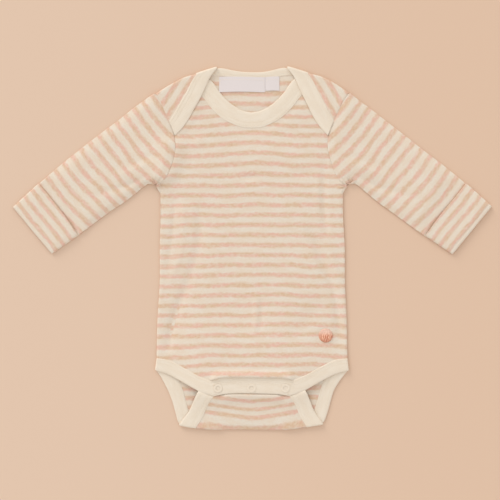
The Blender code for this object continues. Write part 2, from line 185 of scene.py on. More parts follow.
# ---- sleeve and mitt ----
SLEEVE_TOP = rows_of(
    Mark, (98.9, 158.2), (120, 143.2), (134.8, 131.6), (153.3, 117.6), (179.4, 97.2), (197.8, 83),
    (215, 68.4), (231, 54), (244.4, 41.8),
)
SLEEVE_BOTTOM = rows_of(
    Mark, (99.4, 65.2), (103.8, 66.4), (109.5, 63.6), (120, 54.8), (131, 46), (150.3, 32.2),
    (169.4, 17.8), (181.8, 9), (194, 0.6), (204, -6.4),
)
SLEEVE_HEAD = rows_of(
    Mark, (96.7, 156.1), (91.3, 146.7), (84.7, 130.1), (80.9, 120.9), (78.3, 106.5), (79.1, 95.6),
    (82.2, 83.9), (87.1, 72.9), (93, 67.3), (99, 66),
)
MITT_MOUTH = rows_of(Mark, (218.6, 65.8), (205, 49.5), (192.5, 34), (177.6, 12.6))
MITT_CUFF = rows_of(Mark, (244.2, 41.9), (223.9, 17.2), (204.2, -6.2))

# ---- where the dark stripes' middles lie, counted from one at the chest or at the neck ----
FRONT_ROWS = rows_of(Row, (-170.8, 28.4), (-127.9, 24), (-109.3, 22), (114.9, 0), (152.3, -4), (199.2, -9))
BACK_ROWS = rows_of(Row, (-190, 33.9), (-152.8, 30), (-142.9, 29), (157.3, 0), (200, -4.2))
TONGUE_ROWS = rows_of(Row, (-190, 33.6), (-185.2, 34), (-173.2, 35), (-165.4, 36), (-156.5, 37), (-130, 40))
SLEEVE_AXIS = Mark(0.818, -0.575)
SLEEVE_ORIGIN = Mark(87.6, 113.8)
SLEEVE_FIRST_STRIPE, SLEEVE_STRIPE = 7.65, 11.37
MITT_FIRST_STRIPE, MITT_STRIPE = 141.5, 9.7
LAP_ACROSS = Mark(0.845, 0.535)
LAP_FIRST_STRIPE, LAP_STRIPE = 144.0, 11.2

# ---- a binding's cross-section: shares of its width from the free fold to the sewn edge, and heights ----
BINDING = rows_of(
    Fold, (1, 0.40), (0.99, 0.60), (0.955, 0.69), (0.9, 0.68), (0.87, 0.63), (0.84, 0.68), (0.75, 0.72),
    (0.69, 0.7), (0.66, 0.65), (0.63, 0.7), (0.5, 0.74), (0.3, 0.75), (0.13, 0.70), (0.05, 0.55),
    (0.012, 0.3), (0, 0),
)
SLOT = rows_of(Fold, (1, 0.36), (0.7, 0.35), (0.5, 0.22), (0.25, 0.12), (0.15, 0))
STITCH_SHARES = (0.87, 0.66)
PLACKET_STITCH_SHARES = (0.74, 0.62)

# ---- creases: each a line of points with its depth (below 0, a trough) and half width ----
FRONT_CREASES = crease_table(
    (
        (-54, 50, 0, 4), (-55.3, 36, -0.8, 4.5), (-54.3, 18, -1.05, 5), (-57.8, -7.5, -0.85, 5),
        (-66.5, -33, -0.85, 5), (-75.8, -58.5, -1.25, 5), (-79.7, -71, -1.25, 5), (-83.3, -86, -1.4, 4.5),
        (-85.5, -102, -0.9, 4.2), (-87, -112, 0, 4),
    ),
    (
        (-51, 50, 0, 9), (-50, 20, -0.9, 11), (-53, -8, -0.9, 11), (-62, -33, -0.85, 11),
        (-71.5, -58, -0.9, 11), (-76, -78, -0.9, 10), (-81, -104, 0, 9),
    ),
    (
        (-70, 60, 0, 3), (-71, 40, 0.5, 3.5), (-71, 20, 0.6, 3.5), (-73, -2, 0.6, 3.6),
        (-80, -23, 0.55, 3.6), (-86, -40, 0, 3),
    ),
    ((-80, 52, 0, 2.5), (-80.5, 36, -0.7, 3), (-82, 14, -0.7, 3), (-86, -12, -0.45, 3), (-89, -28, 0, 3)),
    ((73, 88, 0, 3), (74, 72, -0.7, 3.7), (74.5, 46, -0.8, 3.9), (75.5, 22, -1.0, 3.9), (77, 8, 0, 3.5)),
    (
        (53, 24, 0, 4), (60, 12, -1.4, 4.6), (66, 2, -2.1, 4.8), (75.5, -20, -2.1, 4.8),
        (81, -33, -1.8, 4.5), (86.5, -53, -1.4, 4.2), (89.5, -87, -1.2, 4), (92, -104, 0, 4),
    ),
    ((74, 12, 0, 3), (81.5, -7, 0.8, 3.4), (88, -24, 0.6, 3.4), (92, -38, 0, 3)),
    ((66, 80, 0, 3), (67.5, 64, 0.5, 3.5), (68, 48, 0.5, 3.5), (69, 32, 0, 3)),
    ((4.5, -42, 0, 2.5), (4.5, -58, 0.7, 3), (5, -76, 0.7, 3), (2, -96, 0, 2.5)),
    ((9.5, -50, 0, 2.5), (10, -62, -0.6, 3), (9.5, -76, -0.6, 3), (7, -90, 0, 2.5)),
    ((76, -50, 0, 8), (64, -66, -0.7, 10), (51, -84, -0.8, 11), (36, -100, 0, 9)),
    ((-63, 104, 0, 5), (-53.5, 109, 0.8, 5), (-43, 110, 0, 5)),
    ((-92, 54, 0, 9), (-82, 50, -0.9, 10), (-68, 50, -0.8, 10), (-54, 54, 0, 9)),
    ((38, 76, 0, 5), (52, 75.5, -0.55, 4.5), (66, 77, 0, 4)),
    ((69, 98, 0, 3), (76, 88, -0.7, 3.2), (82, 80, -0.5, 3), (89, 70, 0, 3)),
    ((-13, 71, 0, 3), (-1, 71.5, -1.1, 3.4), (11, 71, 0, 3)),
)
SLEEVE_CREASES = crease_table(
    (
        (98, 74, -0.3, 2.5), (108, 73, -0.8, 3), (122, 66, -1.0, 3.3), (137, 60, -0.85, 3.5),
        (152, 56, -0.6, 3.5), (170, 46, 0, 4),
    ),
    ((94, 86, 0, 3), (108, 85, 0.6, 3.8), (126, 77, 0.6, 4.2), (146, 68, 0, 4)),
    ((92, 92, 0, 3), (104, 94, -0.35, 3.5), (122, 86, -0.25, 5), (136, 80, 0, 5)),
    ((86, 112, 0, 4), (98, 110, -0.25, 5), (116, 104, -0.2, 6), (134, 96, 0, 6)),
    ((92, 134, 0, 4), (108, 132, -0.22, 5), (122, 122, 0, 6)),
    ((150, 100, 0, 6), (166, 76, -0.25, 7), (176, 52, -0.2, 7), (178, 32, 0, 6)),
    ((168, 96, 0, 6), (184, 74, 0.25, 7), (192, 54, 0, 7)),
    ((184, 60, 0, 3), (190, 45, -0.3, 3), (184, 32, -0.3, 3), (178, 22, 0, 3)),
)
MITT_CREASES = crease_table(
    ((212, 50, 0, 4), (216, 36, -0.22, 5), (210, 20, -0.2, 5), (204, 8, 0, 4)),
    ((222, 52, 0, 4), (228, 40, 0.2, 5), (222, 26, 0, 5)),
)
LAP_CREASES = crease_table(
    ((70, 172, 0, 4), (78, 162, -0.2, 5), (84, 150, -0.22, 5), (88, 140, 0, 4)),
)
TONGUE_CREASES = crease_table(
    ((-38, -176, 0, 3), (-20, -179, -0.3, 3), (6, -180, -0.35, 3), (34, -178, 0, 3)),
    ((-36, -158, 0, 3), (-14, -164, 0.3, 4), (14, -164, 0.3, 4), (36, -158, 0, 3)),
    ((-30, -152, 0, 2.5), (-10, -156, -0.25, 3), (14, -156, -0.25, 3), (32, -151, 0, 2.5)),
)
BACK_CREASES = crease_table(
    ((64, 70, 0, 6), (58, 20, 0.5, 7), (66, -40, 0.6, 7), (80, -90, 0, 6)),
    ((-30, 138, 0, 6), (-4, 124, 0.4, 7), (26, 120, 0.5, 6), (58, 132, 0, 6)),
)

# ---- where the garment was pulled a little out of its even shape, and how far ----
SHIFTS = rows_of(
    Shift, (-96, -50, 1.6, 0, 58), (96, 38, -1.3, 0, 34), (87, -145, -1.7, 0.8, 16),
    (-69, -180, -1.2, -0.4, 15), (0, -185, -0.9, 0, 90), (76, 170, 0.6, 1.2, 28),
    (-55, 178, -0.5, 0.9, 20), (36, 182, 0, 0.5, 16), (92, 162, 0.5, 0.7, 14), (-150, 32, -0.6, 0.9, 42),
    (-200, 84, 0.4, -0.6, 50), (165, 22, -0.4, -0.7, 36), (78, -90, -0.3, 1.1, 22),
)


# ======== lines and grids ========


def curve(marks):
    """Close points along a smooth curve through the marks (a Catmull-Rom curve), in any number of columns."""
    knots = np.array(marks, float)
    outer = np.vstack([2 * knots[0] - knots[1], knots, 2 * knots[-1] - knots[-2]])
    t = np.linspace(0, 1, 16, endpoint=False)[:, None]
    fine = []
    for a, b, c, d in zip(outer, outer[1:], outer[2:], outer[3:]):
        cubic = (2 * a - 5 * b + 4 * c - d) * t**2 + (3 * b - 3 * c + d - a) * t**3
        fine.append(b + 0.5 * ((c - a) * t + cubic))
    return np.vstack(fine + [knots[-1:]])


def lengths(points):
    """How far along a line each of its points lies."""
    steps = np.linalg.norm(np.diff(points, axis=0), axis=1)
    return np.concatenate([[0], np.cumsum(steps)])


def at_shares(points, shares):
    """Points at shares of a line's length. A row of four numbers is a section, measured at its middle."""
    middle = points.reshape(len(points), -1, 2).mean(axis=1)
    length = lengths(middle)
    return np.column_stack([np.interp(shares * length[-1], length, column) for column in points.T])


def even(points, count, start=0.0, stop=1.0):
    """The stretch of a line from share start to share stop of its length, in count equal steps."""
    return at_shares(points, np.linspace(start, stop, count + 1))


def crowded(count, crowd=0.75):
    """Shares from 0 to 1 in count steps that close up towards both ends: a blend of even and cosine steps."""
    t = np.linspace(0, 1, count + 1)
    return (1 - crowd) * t + crowd * (1 - np.cos(math.pi * t)) / 2


def crowded_last(count, crowd=0.75):
    """Shares from 0 to 1 that close up towards 1: a blend of even and sine steps."""
    t = np.linspace(0, 1, count + 1)
    return (1 - crowd) * t + crowd * np.sin(math.pi * t / 2)


def crowded_first(count, crowd=0.75):
    """Shares from 0 to 1 that close up towards 0."""
    return 1 - crowded_last(count, crowd)[::-1]


def tuck_line(band):
    """The edge of the panel inside a binding's slot: a little way from its sewn edge to its free fold."""
    sections = curve(band)
    inwards = sections[:, :2] - sections[:, 2:]
    share = np.minimum(TUCK / np.linalg.norm(inwards, axis=1), MOST_TUCK)
    return sections[:, 2:] + share[:, None] * inwards


def run(*parts):
    """Runs of points joined end to end, each shared corner kept once."""
    return np.vstack([parts[0]] + [part[1:] for part in parts[1:]])


def flip(points):
    """Plan points on the other side of the centre line."""
    return points * (-1, 1)


def left_normals(points):
    """Unit vectors square to a line in plan, pointing to the left of the way it runs."""
    along = np.gradient(points, axis=0)
    along /= np.linalg.norm(along, axis=1)[:, None]
    return np.column_stack([-along[:, 1], along[:, 0]])


def patch(low, high, left, right):
    """The grid between four edges: low and high run left to right, left and right run upwards.

    Coons' formula: the blend of the sides, plus the blend of the ends, less the blend of the corners. How
    far along a row or column a point lies comes from the lengths of the edges, so close steps stay close.
    """
    across = (lengths(low) / lengths(low)[-1] + lengths(high) / lengths(high)[-1])[:, None] / 2
    up = (lengths(left) / lengths(left)[-1] + lengths(right) / lengths(right)[-1])[None, :] / 2
    u, v = (part[..., None] for part in np.broadcast_arrays(across, up))
    sides = (1 - u) * left[None] + u * right[None]
    ends = (1 - v) * low[:, None] + v * high[:, None]
    corners = (1 - u) * ((1 - v) * low[0] + v * high[0]) + u * ((1 - v) * low[-1] + v * high[-1])
    return sides + ends - corners


def smooth(share):
    """0 below 0 and 1 above 1, with a smooth S between: 3 t squared less 2 t cubed."""
    t = np.clip(share, 0, 1)
    return t**2 * (3 - 2 * t)


def eased(value, start, reach):
    """0 up to start and 1 from start plus reach on, smooth between; a reach below 0 runs the other way."""
    return smooth((value - start) / reach)


def nearest(plan, line):
    """The distance from each plan point to a line, and the line's further columns at its nearest point."""
    start, step = line[:-1], np.diff(line, axis=0)
    offset = plan[..., None, :] - start[:, :2]
    share = np.clip((offset * step[:, :2]).sum(-1) / (step[:, :2] ** 2).sum(-1), 0, 1)
    gaps = np.linalg.norm(offset - share[..., None] * step[:, :2], axis=-1)
    which = gaps.argmin(-1)
    share = np.take_along_axis(share, which[..., None], -1)
    gap = np.take_along_axis(gaps, which[..., None], -1)[..., 0]
    return gap, start[which][..., 2:] + share * step[which][..., 2:]


def gap_to(plan, *lines):
    """The distance from each plan point, on either side, to the nearest of some lines of the right half."""
    half = np.stack([np.abs(plan[..., 0]), plan[..., 1]], axis=-1)
    return np.min([nearest(half, line[:, :2])[0] for line in lines], axis=0)


def close_to(gap, reach):
    """1 within a binding's tuck of an edge, fading smoothly to 0 at reach from it."""
    return smooth((reach - gap) / (reach - TUCK))


def relief(plan, creases):
    """How far the listed creases raise the cloth: for each, depth times a bell curve of the distance to it.
    """
    height = np.zeros(plan.shape[:-1])
    for crease in creases:
        gap, shape = nearest(plan, curve(crease))
        height += shape[..., 0] * np.exp(-((gap / shape[..., 1]) ** 2))
    return height


def unevenness(plan):
    """Slow rises and falls of cloth that was smoothed by hand: a few waves in different directions."""
    x, y = plan[..., 0], plan[..., 1]
    waves = np.sin(x / 13 + 0.9 * np.sin(y / 31)) + 0.8 * np.sin((0.5 * x + y) / 17 + 1.3)
    return 0.1 * (waves + 0.7 * np.sin((x - 0.6 * y) / 9.5 + 0.4))


def crotch_rise(plan):
    """How far the front stands up round the snapped placket: all of it there, fading to none."""
    aside = np.maximum(np.abs(plan[..., 0]) - RISE_HALF_WIDTH, 0) / RISE_REACH_ASIDE
    above = np.maximum(plan[..., 1] - RISE_TOP, 0) / RISE_REACH
    return CROTCH_RISE * smooth(1 - np.hypot(aside, above))


def rolled(gap, radius, drop):
    """How far cloth falls towards an edge that rolls under: a quarter circle's fall, scaled to drop."""
    t = np.clip(1 - gap / radius, 0, 1)
    return drop * (1 - np.sqrt(1 - t**2))


def raised(plan, height):
    """Plan points given a height, which is one number or one for each point."""
    return np.concatenate([plan, np.broadcast_to(height, plan.shape[:-1])[..., None]], axis=-1)


def turn(line, outward, low, high, steps=6):
    """The turn of folded cloth: half a circle on a line in plan, from height low up to height high."""
    angle = np.linspace(0, math.pi, steps + 1)[None, :]
    radius = np.broadcast_to((np.asarray(high) - low) / 2, len(line))[:, None]
    middle = np.broadcast_to((np.asarray(high) + low) / 2, len(line))[:, None]
    plan = line[:, None, :] + outward[:, None, :] * (radius * np.sin(angle))[..., None]
    return raised(plan, middle - radius * np.cos(angle))


def lie(points):
    """Where the garment really lies: the tables' points, moved by slow waves and by the shifts of cloth laid
    by hand, each of which fades as a bell curve of the distance to its place."""
    x, y = points[..., 0], points[..., 1]
    moved = points.copy()
    moved[..., 0] += 0.45 * np.sin(y / 29 + 0.6) + 0.3 * np.sin(y / 11.5 + x / 60) + 0.2 * np.sin(x / 14)
    moved[..., 1] += 0.4 * np.sin(x / 33 + 1.1) + 0.28 * np.sin(x / 12.5 + y / 50) + 0.15 * np.sin(y / 16)
    for shift in SHIFTS:
        bell = np.exp(-((x - shift.x) ** 2 + (y - shift.y) ** 2) / shift.reach**2)
        moved[..., 0] += shift.aside * bell
        moved[..., 1] += shift.up * bell
    return moved


# ======== charts: where on the knitted cloth each point is, in metres, rows along U ========

# starts and reaches in y: where the rows bow at the chest and droop at the hips, and the tongue's fold
CHEST, HIPS, AT_FOLD = (60, 35), (-70, -45), (-184, 12)


def counted(y, rows):
    """How many stripes down from the first a height lies, straight between the table's rows."""
    return np.interp(y, [row.y for row in rows], [row.stripes for row in rows])


def chart_of(along, stripes):
    """U and V in metres, with a stripe every STRIPE millimetres of V."""
    return np.stack(np.broadcast_arrays(along * MM, stripes * STRIPE * MM), axis=-1)


def front_chart(plan):
    """Level rows that bow up at the chest and droop towards the sides above the leg openings."""
    x, y = plan[..., 0], plan[..., 1]
    bow = 1.9 * np.exp(-((x / 34) ** 2)) * eased(y, *CHEST)
    droop = (x / 90) ** 2 * (0.5 + (1.5 - 0.7 * np.sign(x)) * eased(y, *HIPS))
    wave = 0.35 * np.sin(x / 19 + y / 23) + 0.25 * np.sin(x / 8.5 - y / 31)
    return chart_of(x, counted(y - bow + droop + wave, FRONT_ROWS))


def back_chart(plan):
    """Level rows."""
    x, y = plan[..., 0], plan[..., 1]
    return chart_of(x, counted(y + 0.3 * np.sin(x / 15 + y / 20), BACK_ROWS))


def tongue_chart(plan):
    """Rows that sag in the middle, less so near the fold."""
    x, y = plan[..., 0], plan[..., 1]
    sag = 6.2 * np.minimum(np.abs(x / 43) ** 1.4, 1.15) * (0.6 + 0.4 * eased(y, *AT_FOLD))
    return chart_of(x, counted(y - sag, TONGUE_ROWS))


def lap_chart(plan):
    """Rows nearly in line with the lap's binding, as a fold over the slanting shoulder turns them."""
    x, y = np.abs(plan[..., 0]), plan[..., 1]
    across = x * LAP_ACROSS.x + y * LAP_ACROSS.y
    along = x * LAP_ACROSS.y - y * LAP_ACROSS.x
    return chart_of(along, (across - LAP_FIRST_STRIPE) / LAP_STRIPE)


def sleeve_place(plan):
    """How far down the sleeve's axis and off it, towards its top edge, a plan point lies."""
    from_origin = plan - SLEEVE_ORIGIN
    down = from_origin @ np.array(SLEEVE_AXIS)
    off = from_origin @ np.array((-SLEEVE_AXIS.y, SLEEVE_AXIS.x))
    return down, off


def sleeve_chart(plan, girth):
    """Rows across the sleeve, leaning and a little bent, with the way round the sleeve as U."""
    down, off = sleeve_place(plan)
    lean = 0.12 * off - 0.0015 * off**2 + 0.4 * np.sin(off / 9 + down / 17)
    return chart_of(girth, (down - lean - SLEEVE_FIRST_STRIPE) / SLEEVE_STRIPE)


def mitt_chart(plan):
    """Rows in line with the cuff."""
    down, off = sleeve_place(plan)
    lean = 0.08 * off + 0.25 * np.sin(off / 8)
    return chart_of(off, (down - lean - MITT_FIRST_STRIPE) / MITT_STRIPE)


# ======== meshes ========


def placed(name, data):
    """A new object of some data, in the scene."""
    thing = bpy.data.objects.new(name, data)
    bpy.context.scene.collection.objects.link(thing)
    return thing


def make_mesh(name, points, faces, charts, look, flat_last=0):
    """A smooth-shaded object of points in millimetres, lists of equal-sided faces and their corners' charts.

    The last few faces, flat_last of them, are shaded flat: the ends of strips.
    """
    mesh = bpy.data.meshes.new(name)
    sizes = np.concatenate([np.full(len(part), part.shape[1]) for part in faces])
    corners = np.concatenate([part.ravel() for part in faces])
    mesh.vertices.add(len(points))
    mesh.vertices.foreach_set("co", (points * MM).astype(np.float32).ravel())
    mesh.loops.add(len(corners))
    mesh.loops.foreach_set("vertex_index", corners.astype(np.int32))
    mesh.polygons.add(len(sizes))
    starts = np.concatenate([[0], np.cumsum(sizes)[:-1]])
    mesh.polygons.foreach_set("loop_start", starts.astype(np.int32))
    mesh.polygons.foreach_set("loop_total", sizes.astype(np.int32))
    chart = mesh.uv_layers.new(name="chart")
    flat = np.concatenate([part.reshape(-1, 2) for part in charts])
    chart.data.foreach_set("uv", flat.astype(np.float32).ravel())
    mesh.update(calc_edges=True)
    mesh.validate()
    mesh.polygons.foreach_set("use_smooth", np.arange(len(sizes)) < len(sizes) - flat_last)
    mesh.materials.append(look)
    return placed(name, mesh)


def quads_between(number, turned=False):
    """The quads between neighbouring rows and columns of point numbers, or the same facing the other way."""
    a, b, c, d = number[:-1, :-1], number[1:, :-1], number[1:, 1:], number[:-1, 1:]
    return np.stack((a, d, c, b) if turned else (a, b, c, d), axis=-1).reshape(-1, 4)


def grid_faces(rows, columns, closed=False):
    """The quads of a grid of points numbered row by row; a closed grid joins its last row to its first."""
    number = np.arange(rows * columns).reshape(rows, columns)
    if closed:
        number = np.vstack([number, number[:1]])
    return quads_between(number)


def weld(grids, charts):
    """Grids joined into one sheet where their points meet: its points, quads and quads' charts."""
    loose = np.vstack([grid.reshape(-1, 3) for grid in grids])
    starts = np.cumsum([0] + [grid[..., 0].size for grid in grids[:-1]])
    quads = np.vstack([start + grid_faces(*grid.shape[:2]) for start, grid in zip(starts, grids)])
    corner_charts = np.vstack([chart.reshape(-1, 2) for chart in charts])[quads]
    _, first, joined = np.unique(np.round(loose, 3) + 0.0, axis=0, return_index=True, return_inverse=True)
    return loose[first], joined.ravel()[quads], corner_charts


def point_normals(points, quads):
    """Unit normals of a sheet's points: the sum of the normals of the quads round each, by area."""
    a, b, c, d = (points[quads[:, corner]] for corner in range(4))
    square = np.cross(c - a, d - b)
    normals = np.zeros_like(points)
    for corner in range(4):
        np.add.at(normals, quads[:, corner], square)
    return normals / np.linalg.norm(normals, axis=1)[:, None]


def shell(name, points, quads, charts, wall, look, steps=4):
    """A closed shell with a sheet as its middle: the sheet moved half the wall out and in along its normals,
    and round each free edge a half circle of that radius joining the two."""
    count = len(points)
    normals = point_normals(points, quads)
    pairs = np.vstack([quads[:, [k, (k + 1) % 4]] for k in range(4)])
    pair_charts = np.concatenate([charts[:, [k, (k + 1) % 4]] for k in range(4)])
    keys = pairs[:, 0] * count + pairs[:, 1]
    free = ~np.isin(keys, pairs[:, 1] * count + pairs[:, 0])
    edge, edge_charts = pairs[free], pair_charts[free]

    along = points[edge[:, 1]] - points[edge[:, 0]]
    along /= np.linalg.norm(along, axis=1)[:, None]
    outward = np.zeros_like(points)
    for end in range(2):
        np.add.at(outward, edge[:, end], np.cross(along, normals[edge[:, end]]))
    rim = np.unique(edge)
    out = outward[rim] / np.linalg.norm(outward[rim], axis=1)[:, None]

    half = wall / 2
    rings = []
    for step in range(1, steps):
        angle = math.pi / 2 - math.pi * step / steps
        rings.append(points[rim] + half * (math.cos(angle) * out + math.sin(angle) * normals[rim]))
    everything = np.vstack([points + half * normals, points - half * normals] + rings)

    place = np.zeros(count, int)
    place[rim] = np.arange(len(rim))
    levels = [edge]
    levels += [2 * count + step * len(rim) + place[edge] for step in range(steps - 1)]
    levels.append(edge + count)
    strips = [
        np.column_stack([low[:, 1], low[:, 0], high[:, 0], high[:, 1]])
        for low, high in zip(levels, levels[1:])
    ]
    strip_chart = edge_charts[:, [1, 0, 0, 1]]
    faces = [quads, quads[:, ::-1] + count] + strips
    return make_mesh(name, everything, faces, [charts, charts[:, ::-1]] + [strip_chart] * steps, look)


# ======== bindings ========

Ribbon = namedtuple("Ribbon", "free sewn out")


def laid_ribbon(stations, count, height, out=1):
    """A binding's middle, lying flat: its free and sewn edges in space and which way its outside faces."""
    sections = even(curve(stations), count)
    free, sewn = raised(sections[:, :2], 0), raised(sections[:, 2:], 0)
    free[:, 2] = height(sections[:, :2]) if callable(height) else height
    sewn[:, 2] = height(sections[:, 2:]) if callable(height) else height
    return Ribbon(free, sewn, np.tile((0.0, 0.0, out), (count + 1, 1)))


def folded_ribbon(section, outward, low, high, steps=8):
    """A binding's half turn about one of its sections, swung from height low to high round the fold."""
    angle = np.linspace(0, math.pi, steps + 1)[:, None]
    radius, middle = (high - low) / 2, (high + low) / 2
    way = np.append(outward, 0.0)
    swing = way * np.sin(angle) - (0.0, 0.0, 1.0) * np.cos(angle)
    ends = [np.append(end, middle) + radius * swing for end in (section[:2], section[2:])]
    return Ribbon(ends[0], ends[1], swing)


def joined_ribbons(*ribbons):
    """Ribbons end to end as one, each shared section kept once."""
    return Ribbon(*(run(*parts) for parts in zip(*ribbons)))


def mirrored_ribbon(ribbon):
    """The ribbon on the other side of the centre line, run the other way so that its outside stays out."""
    return Ribbon(*(part[::-1] * (-1, 1, 1) for part in ribbon))


def on_ribbon(ribbon, share, height):
    """Points at a share of the way from the free fold to the sewn edge, raised along the outside."""
    return ribbon.free + share * (ribbon.sewn - ribbon.free) + height * ribbon.out


def square_ended(ribbon):
    """The ribbon with one more section just inside each end, so that the turn onto its end faces is sharp."""
    near = 0.03
    parts = []
    for part in ribbon:
        first = part[:1] + near * (part[1:2] - part[:1])
        last = part[-1:] + near * (part[-2:-1] - part[-1:])
        parts.append(np.vstack([part[:1], first, part[1:-1], last, part[-1:]]))
    return Ribbon(*parts)


def mean_width(ribbon):
    return np.linalg.norm(ribbon.sewn - ribbon.free, axis=1).mean()


def binding(name, ribbon, look):
    """A binding: a strip folded in two along its free edge, carried along the ribbon.

    Its cross-section is the table's outer leaf, the same leaf on the inside, and between them the slot
    that holds the panel's edge. Its ribs run across it, so U is the way along it.
    """
    ribbon = square_ended(ribbon)
    outside = list(BINDING)
    inside = [Fold(fold.share, -fold.height) for fold in BINDING[-2::-1]]
    slot = [Fold(fold.share, -fold.height) for fold in SLOT] + list(SLOT[-2::-1])
    profile = outside + inside + slot
    grid = np.stack([on_ribbon(ribbon, fold.share, fold.height) for fold in profile])
    width = mean_width(ribbon)
    middle = (ribbon.free + ribbon.sewn) / 2
    way = lengths(middle)
    sign = np.sign([fold.height for fold in profile])
    across = np.array([fold.share for fold in profile]) * width * np.where(sign < 0, -1, 1)
    chart = np.stack(np.broadcast_arrays(way[None, :] * MM, across[:, None] * MM), axis=-1)

    rows, columns = grid.shape[:2]
    quads = grid_faces(rows, columns, closed=True)
    start = np.arange(rows) * columns
    caps = np.stack([start[::-1], start + columns - 1])
    corner_chart = chart.reshape(-1, 2)
    faces = [quads, caps]
    points = lie(grid.reshape(-1, 3))
    thing = make_mesh(name, points, faces, [corner_chart[quads], corner_chart[caps]], look, flat_last=2)
    return outward_facing(thing)


def outward_facing(thing):
    """The same closed object with its faces turned outwards if its enclosed volume is negative."""
    mesh = thing.data
    mesh.calc_loop_triangles()
    points = np.zeros(len(mesh.vertices) * 3)
    mesh.vertices.foreach_get("co", points)
    corners = np.zeros(len(mesh.loop_triangles) * 3, np.int32)
    mesh.loop_triangles.foreach_get("vertices", corners)
    a, b, c = (points.reshape(-1, 3)[corners.reshape(-1, 3)[:, k]] for k in range(3))
    if np.einsum("ij,ij->i", a, np.cross(b, c)).sum() < 0:
        mesh.flip_normals()
    return thing


# ======== stitches ========

STITCH_PITCH = 2.5
STITCH_SIDES = 6
STITCH_LENGTH = 2.05
THREAD = 0.2


def stitches(name, lines, look):
    """A row of thread stitches on each line: a line is its points in space and the way out of the cloth.

    A stitch is a six-sided tube of six rings along its stretch, bent out like half a sine wave and thinner
    at its ends.
    """
    t = np.linspace(0, 1, STITCH_SIDES)
    bend = np.sin(math.pi * t)
    around = np.linspace(0, 2 * math.pi, STITCH_SIDES, endpoint=False)
    made = []
    for line, out in lines:
        length = lengths(line)
        count = int(length[-1] / STITCH_PITCH)
        begin = (np.arange(count) + 0.5) * length[-1] / count - STITCH_LENGTH / 2
        where = begin[:, None] + t * STITCH_LENGTH
        spine = np.stack([np.interp(where, length, column) for column in line.T], axis=-1)
        up = np.stack([np.interp(where, length, column) for column in out.T], axis=-1)
        way = np.gradient(spine, axis=1)
        way /= np.linalg.norm(way, axis=-1)[..., None]
        side = np.cross(way, up)
        spine = spine + up * (THREAD * (0.75 * bend - 0.25))[None, :, None]
        radius = THREAD * (0.45 + 0.55 * np.sqrt(bend))[None, :, None, None]
        ring = side[:, :, None] * np.cos(around)[:, None] + up[:, :, None] * np.sin(around)[:, None]
        made.append((spine[:, :, None] + radius * ring).reshape(-1, 3))
    points = np.vstack(made)
    each = STITCH_SIDES * STITCH_SIDES
    total = len(points) // each
    number = np.arange(each).reshape(STITCH_SIDES, STITCH_SIDES)
    quads = quads_between(np.column_stack([number, number[:, :1]]), turned=True)
    first = each * np.arange(total)
    tube = (first[:, None, None] + quads).reshape(-1, 4)
    caps = np.vstack([first[:, None] + number[0][::-1], first[:, None] + number[-1]])
    charts = [np.zeros((*part.shape, 2)) for part in (tube, caps)]
    return outward_facing(make_mesh(name, lie(points), [tube, caps], charts, look))


def ribbon_rows(ribbon, shares, heights=(0.66, -0.66)):
    """Stitch lines along a ribbon, on its outside and its inside."""
    return [
        (on_ribbon(ribbon, share, height), np.sign(height) * ribbon.out)
        for share in shares
        for height in heights
    ]


def crossing_rows(ribbon, sections, shares, height=0.72):
    """Short stitch lines on a ribbon's outside, along some of its sections from one share to another."""
    share = np.linspace(*shares, 9)[:, None]
    lines = []
    for section in sections:
        here = Ribbon(*(part[section] for part in ribbon))
        lines.append((on_ribbon(here, share, height), np.tile(here.out, (len(share), 1))))
    return lines


# ======== the panels ========

Part = namedtuple("Part", "grid chart")


def mirrored_grid(grid):
    """A grid on the other side of the centre line, turned about so that its outside stays out."""
    return grid[::-1] * (-1, 1, 1)


def cloth(name, parts, look):
    """A jersey shell of grids, each with its chart, welded where they meet."""
    points, quads, charts = weld(*zip(*parts))
    return shell(name, lie(points), quads, charts, JERSEY, look)


def both_halves(half):
    """Parts for pairs of a grid and its chart's formula, and for the same on the other side of the middle."""
    return [Part(each, chart(each)) for grid, chart in half for each in (grid, mirrored_grid(grid))]


def centre_line(low, high, outer):
    """Points up the centre line from low to high, spaced as the outer edge's points are."""
    share = (outer[:, 1] - outer[0, 1]) / (outer[-1, 1] - outer[0, 1])
    return np.column_stack([np.zeros_like(share), low + share * (high - low)])


BANDS = (FRONT_NECK_BAND, BACK_NECK_BAND, LAP_BAND, LEG_BAND_FRONT, LEG_BAND_BACK, LEG_BAND_TONGUE, PLACKET)
NECK_SEAM, BACK_NECK_SEAM, LAP_SEAM, LEG_SEAM, BACK_LEG_SEAM, TONGUE_SEAM, PLACKET_SEAM = (
    curve(band)[:, 2:] for band in BANDS
)
SIDE_LINE, ARMHOLE_LINE = curve(SIDE + ARMHOLE[:1]), curve(ARMHOLE)
SIDE_ROLL, SEAM_SHARE = 3.2, 0.38
ARMHOLE_LIFT, ARMHOLE_LIFT_WIDTH = 3.6, 10.0
BUNCH_LOW, BUNCH_HIGH = (60, 14), (104, 14)
FRONT_BUNCH, SLEEVE_BUNCH_SPREAD = 0.86, 0.55
BELLY, BELLY_REACH = 1.1, 40
BELLY_TOP, BELLY_TOP_LOSS = (92, 26), 0.75
LAP_PUFF = 0.6
BELOW_NECK = 146, -18
# starts and reaches: past a lap's edge and in y, for the cloth under the laps and the ridge beside them
LAP_COVERS, LAPS_BEGIN = (-1.5, 3), (104, 12)
RIDGE_RISES, RIDGE_FALLS, RIDGE_BEGINS = (-0.9, 1.8), (1.5, 8), (108, 10)
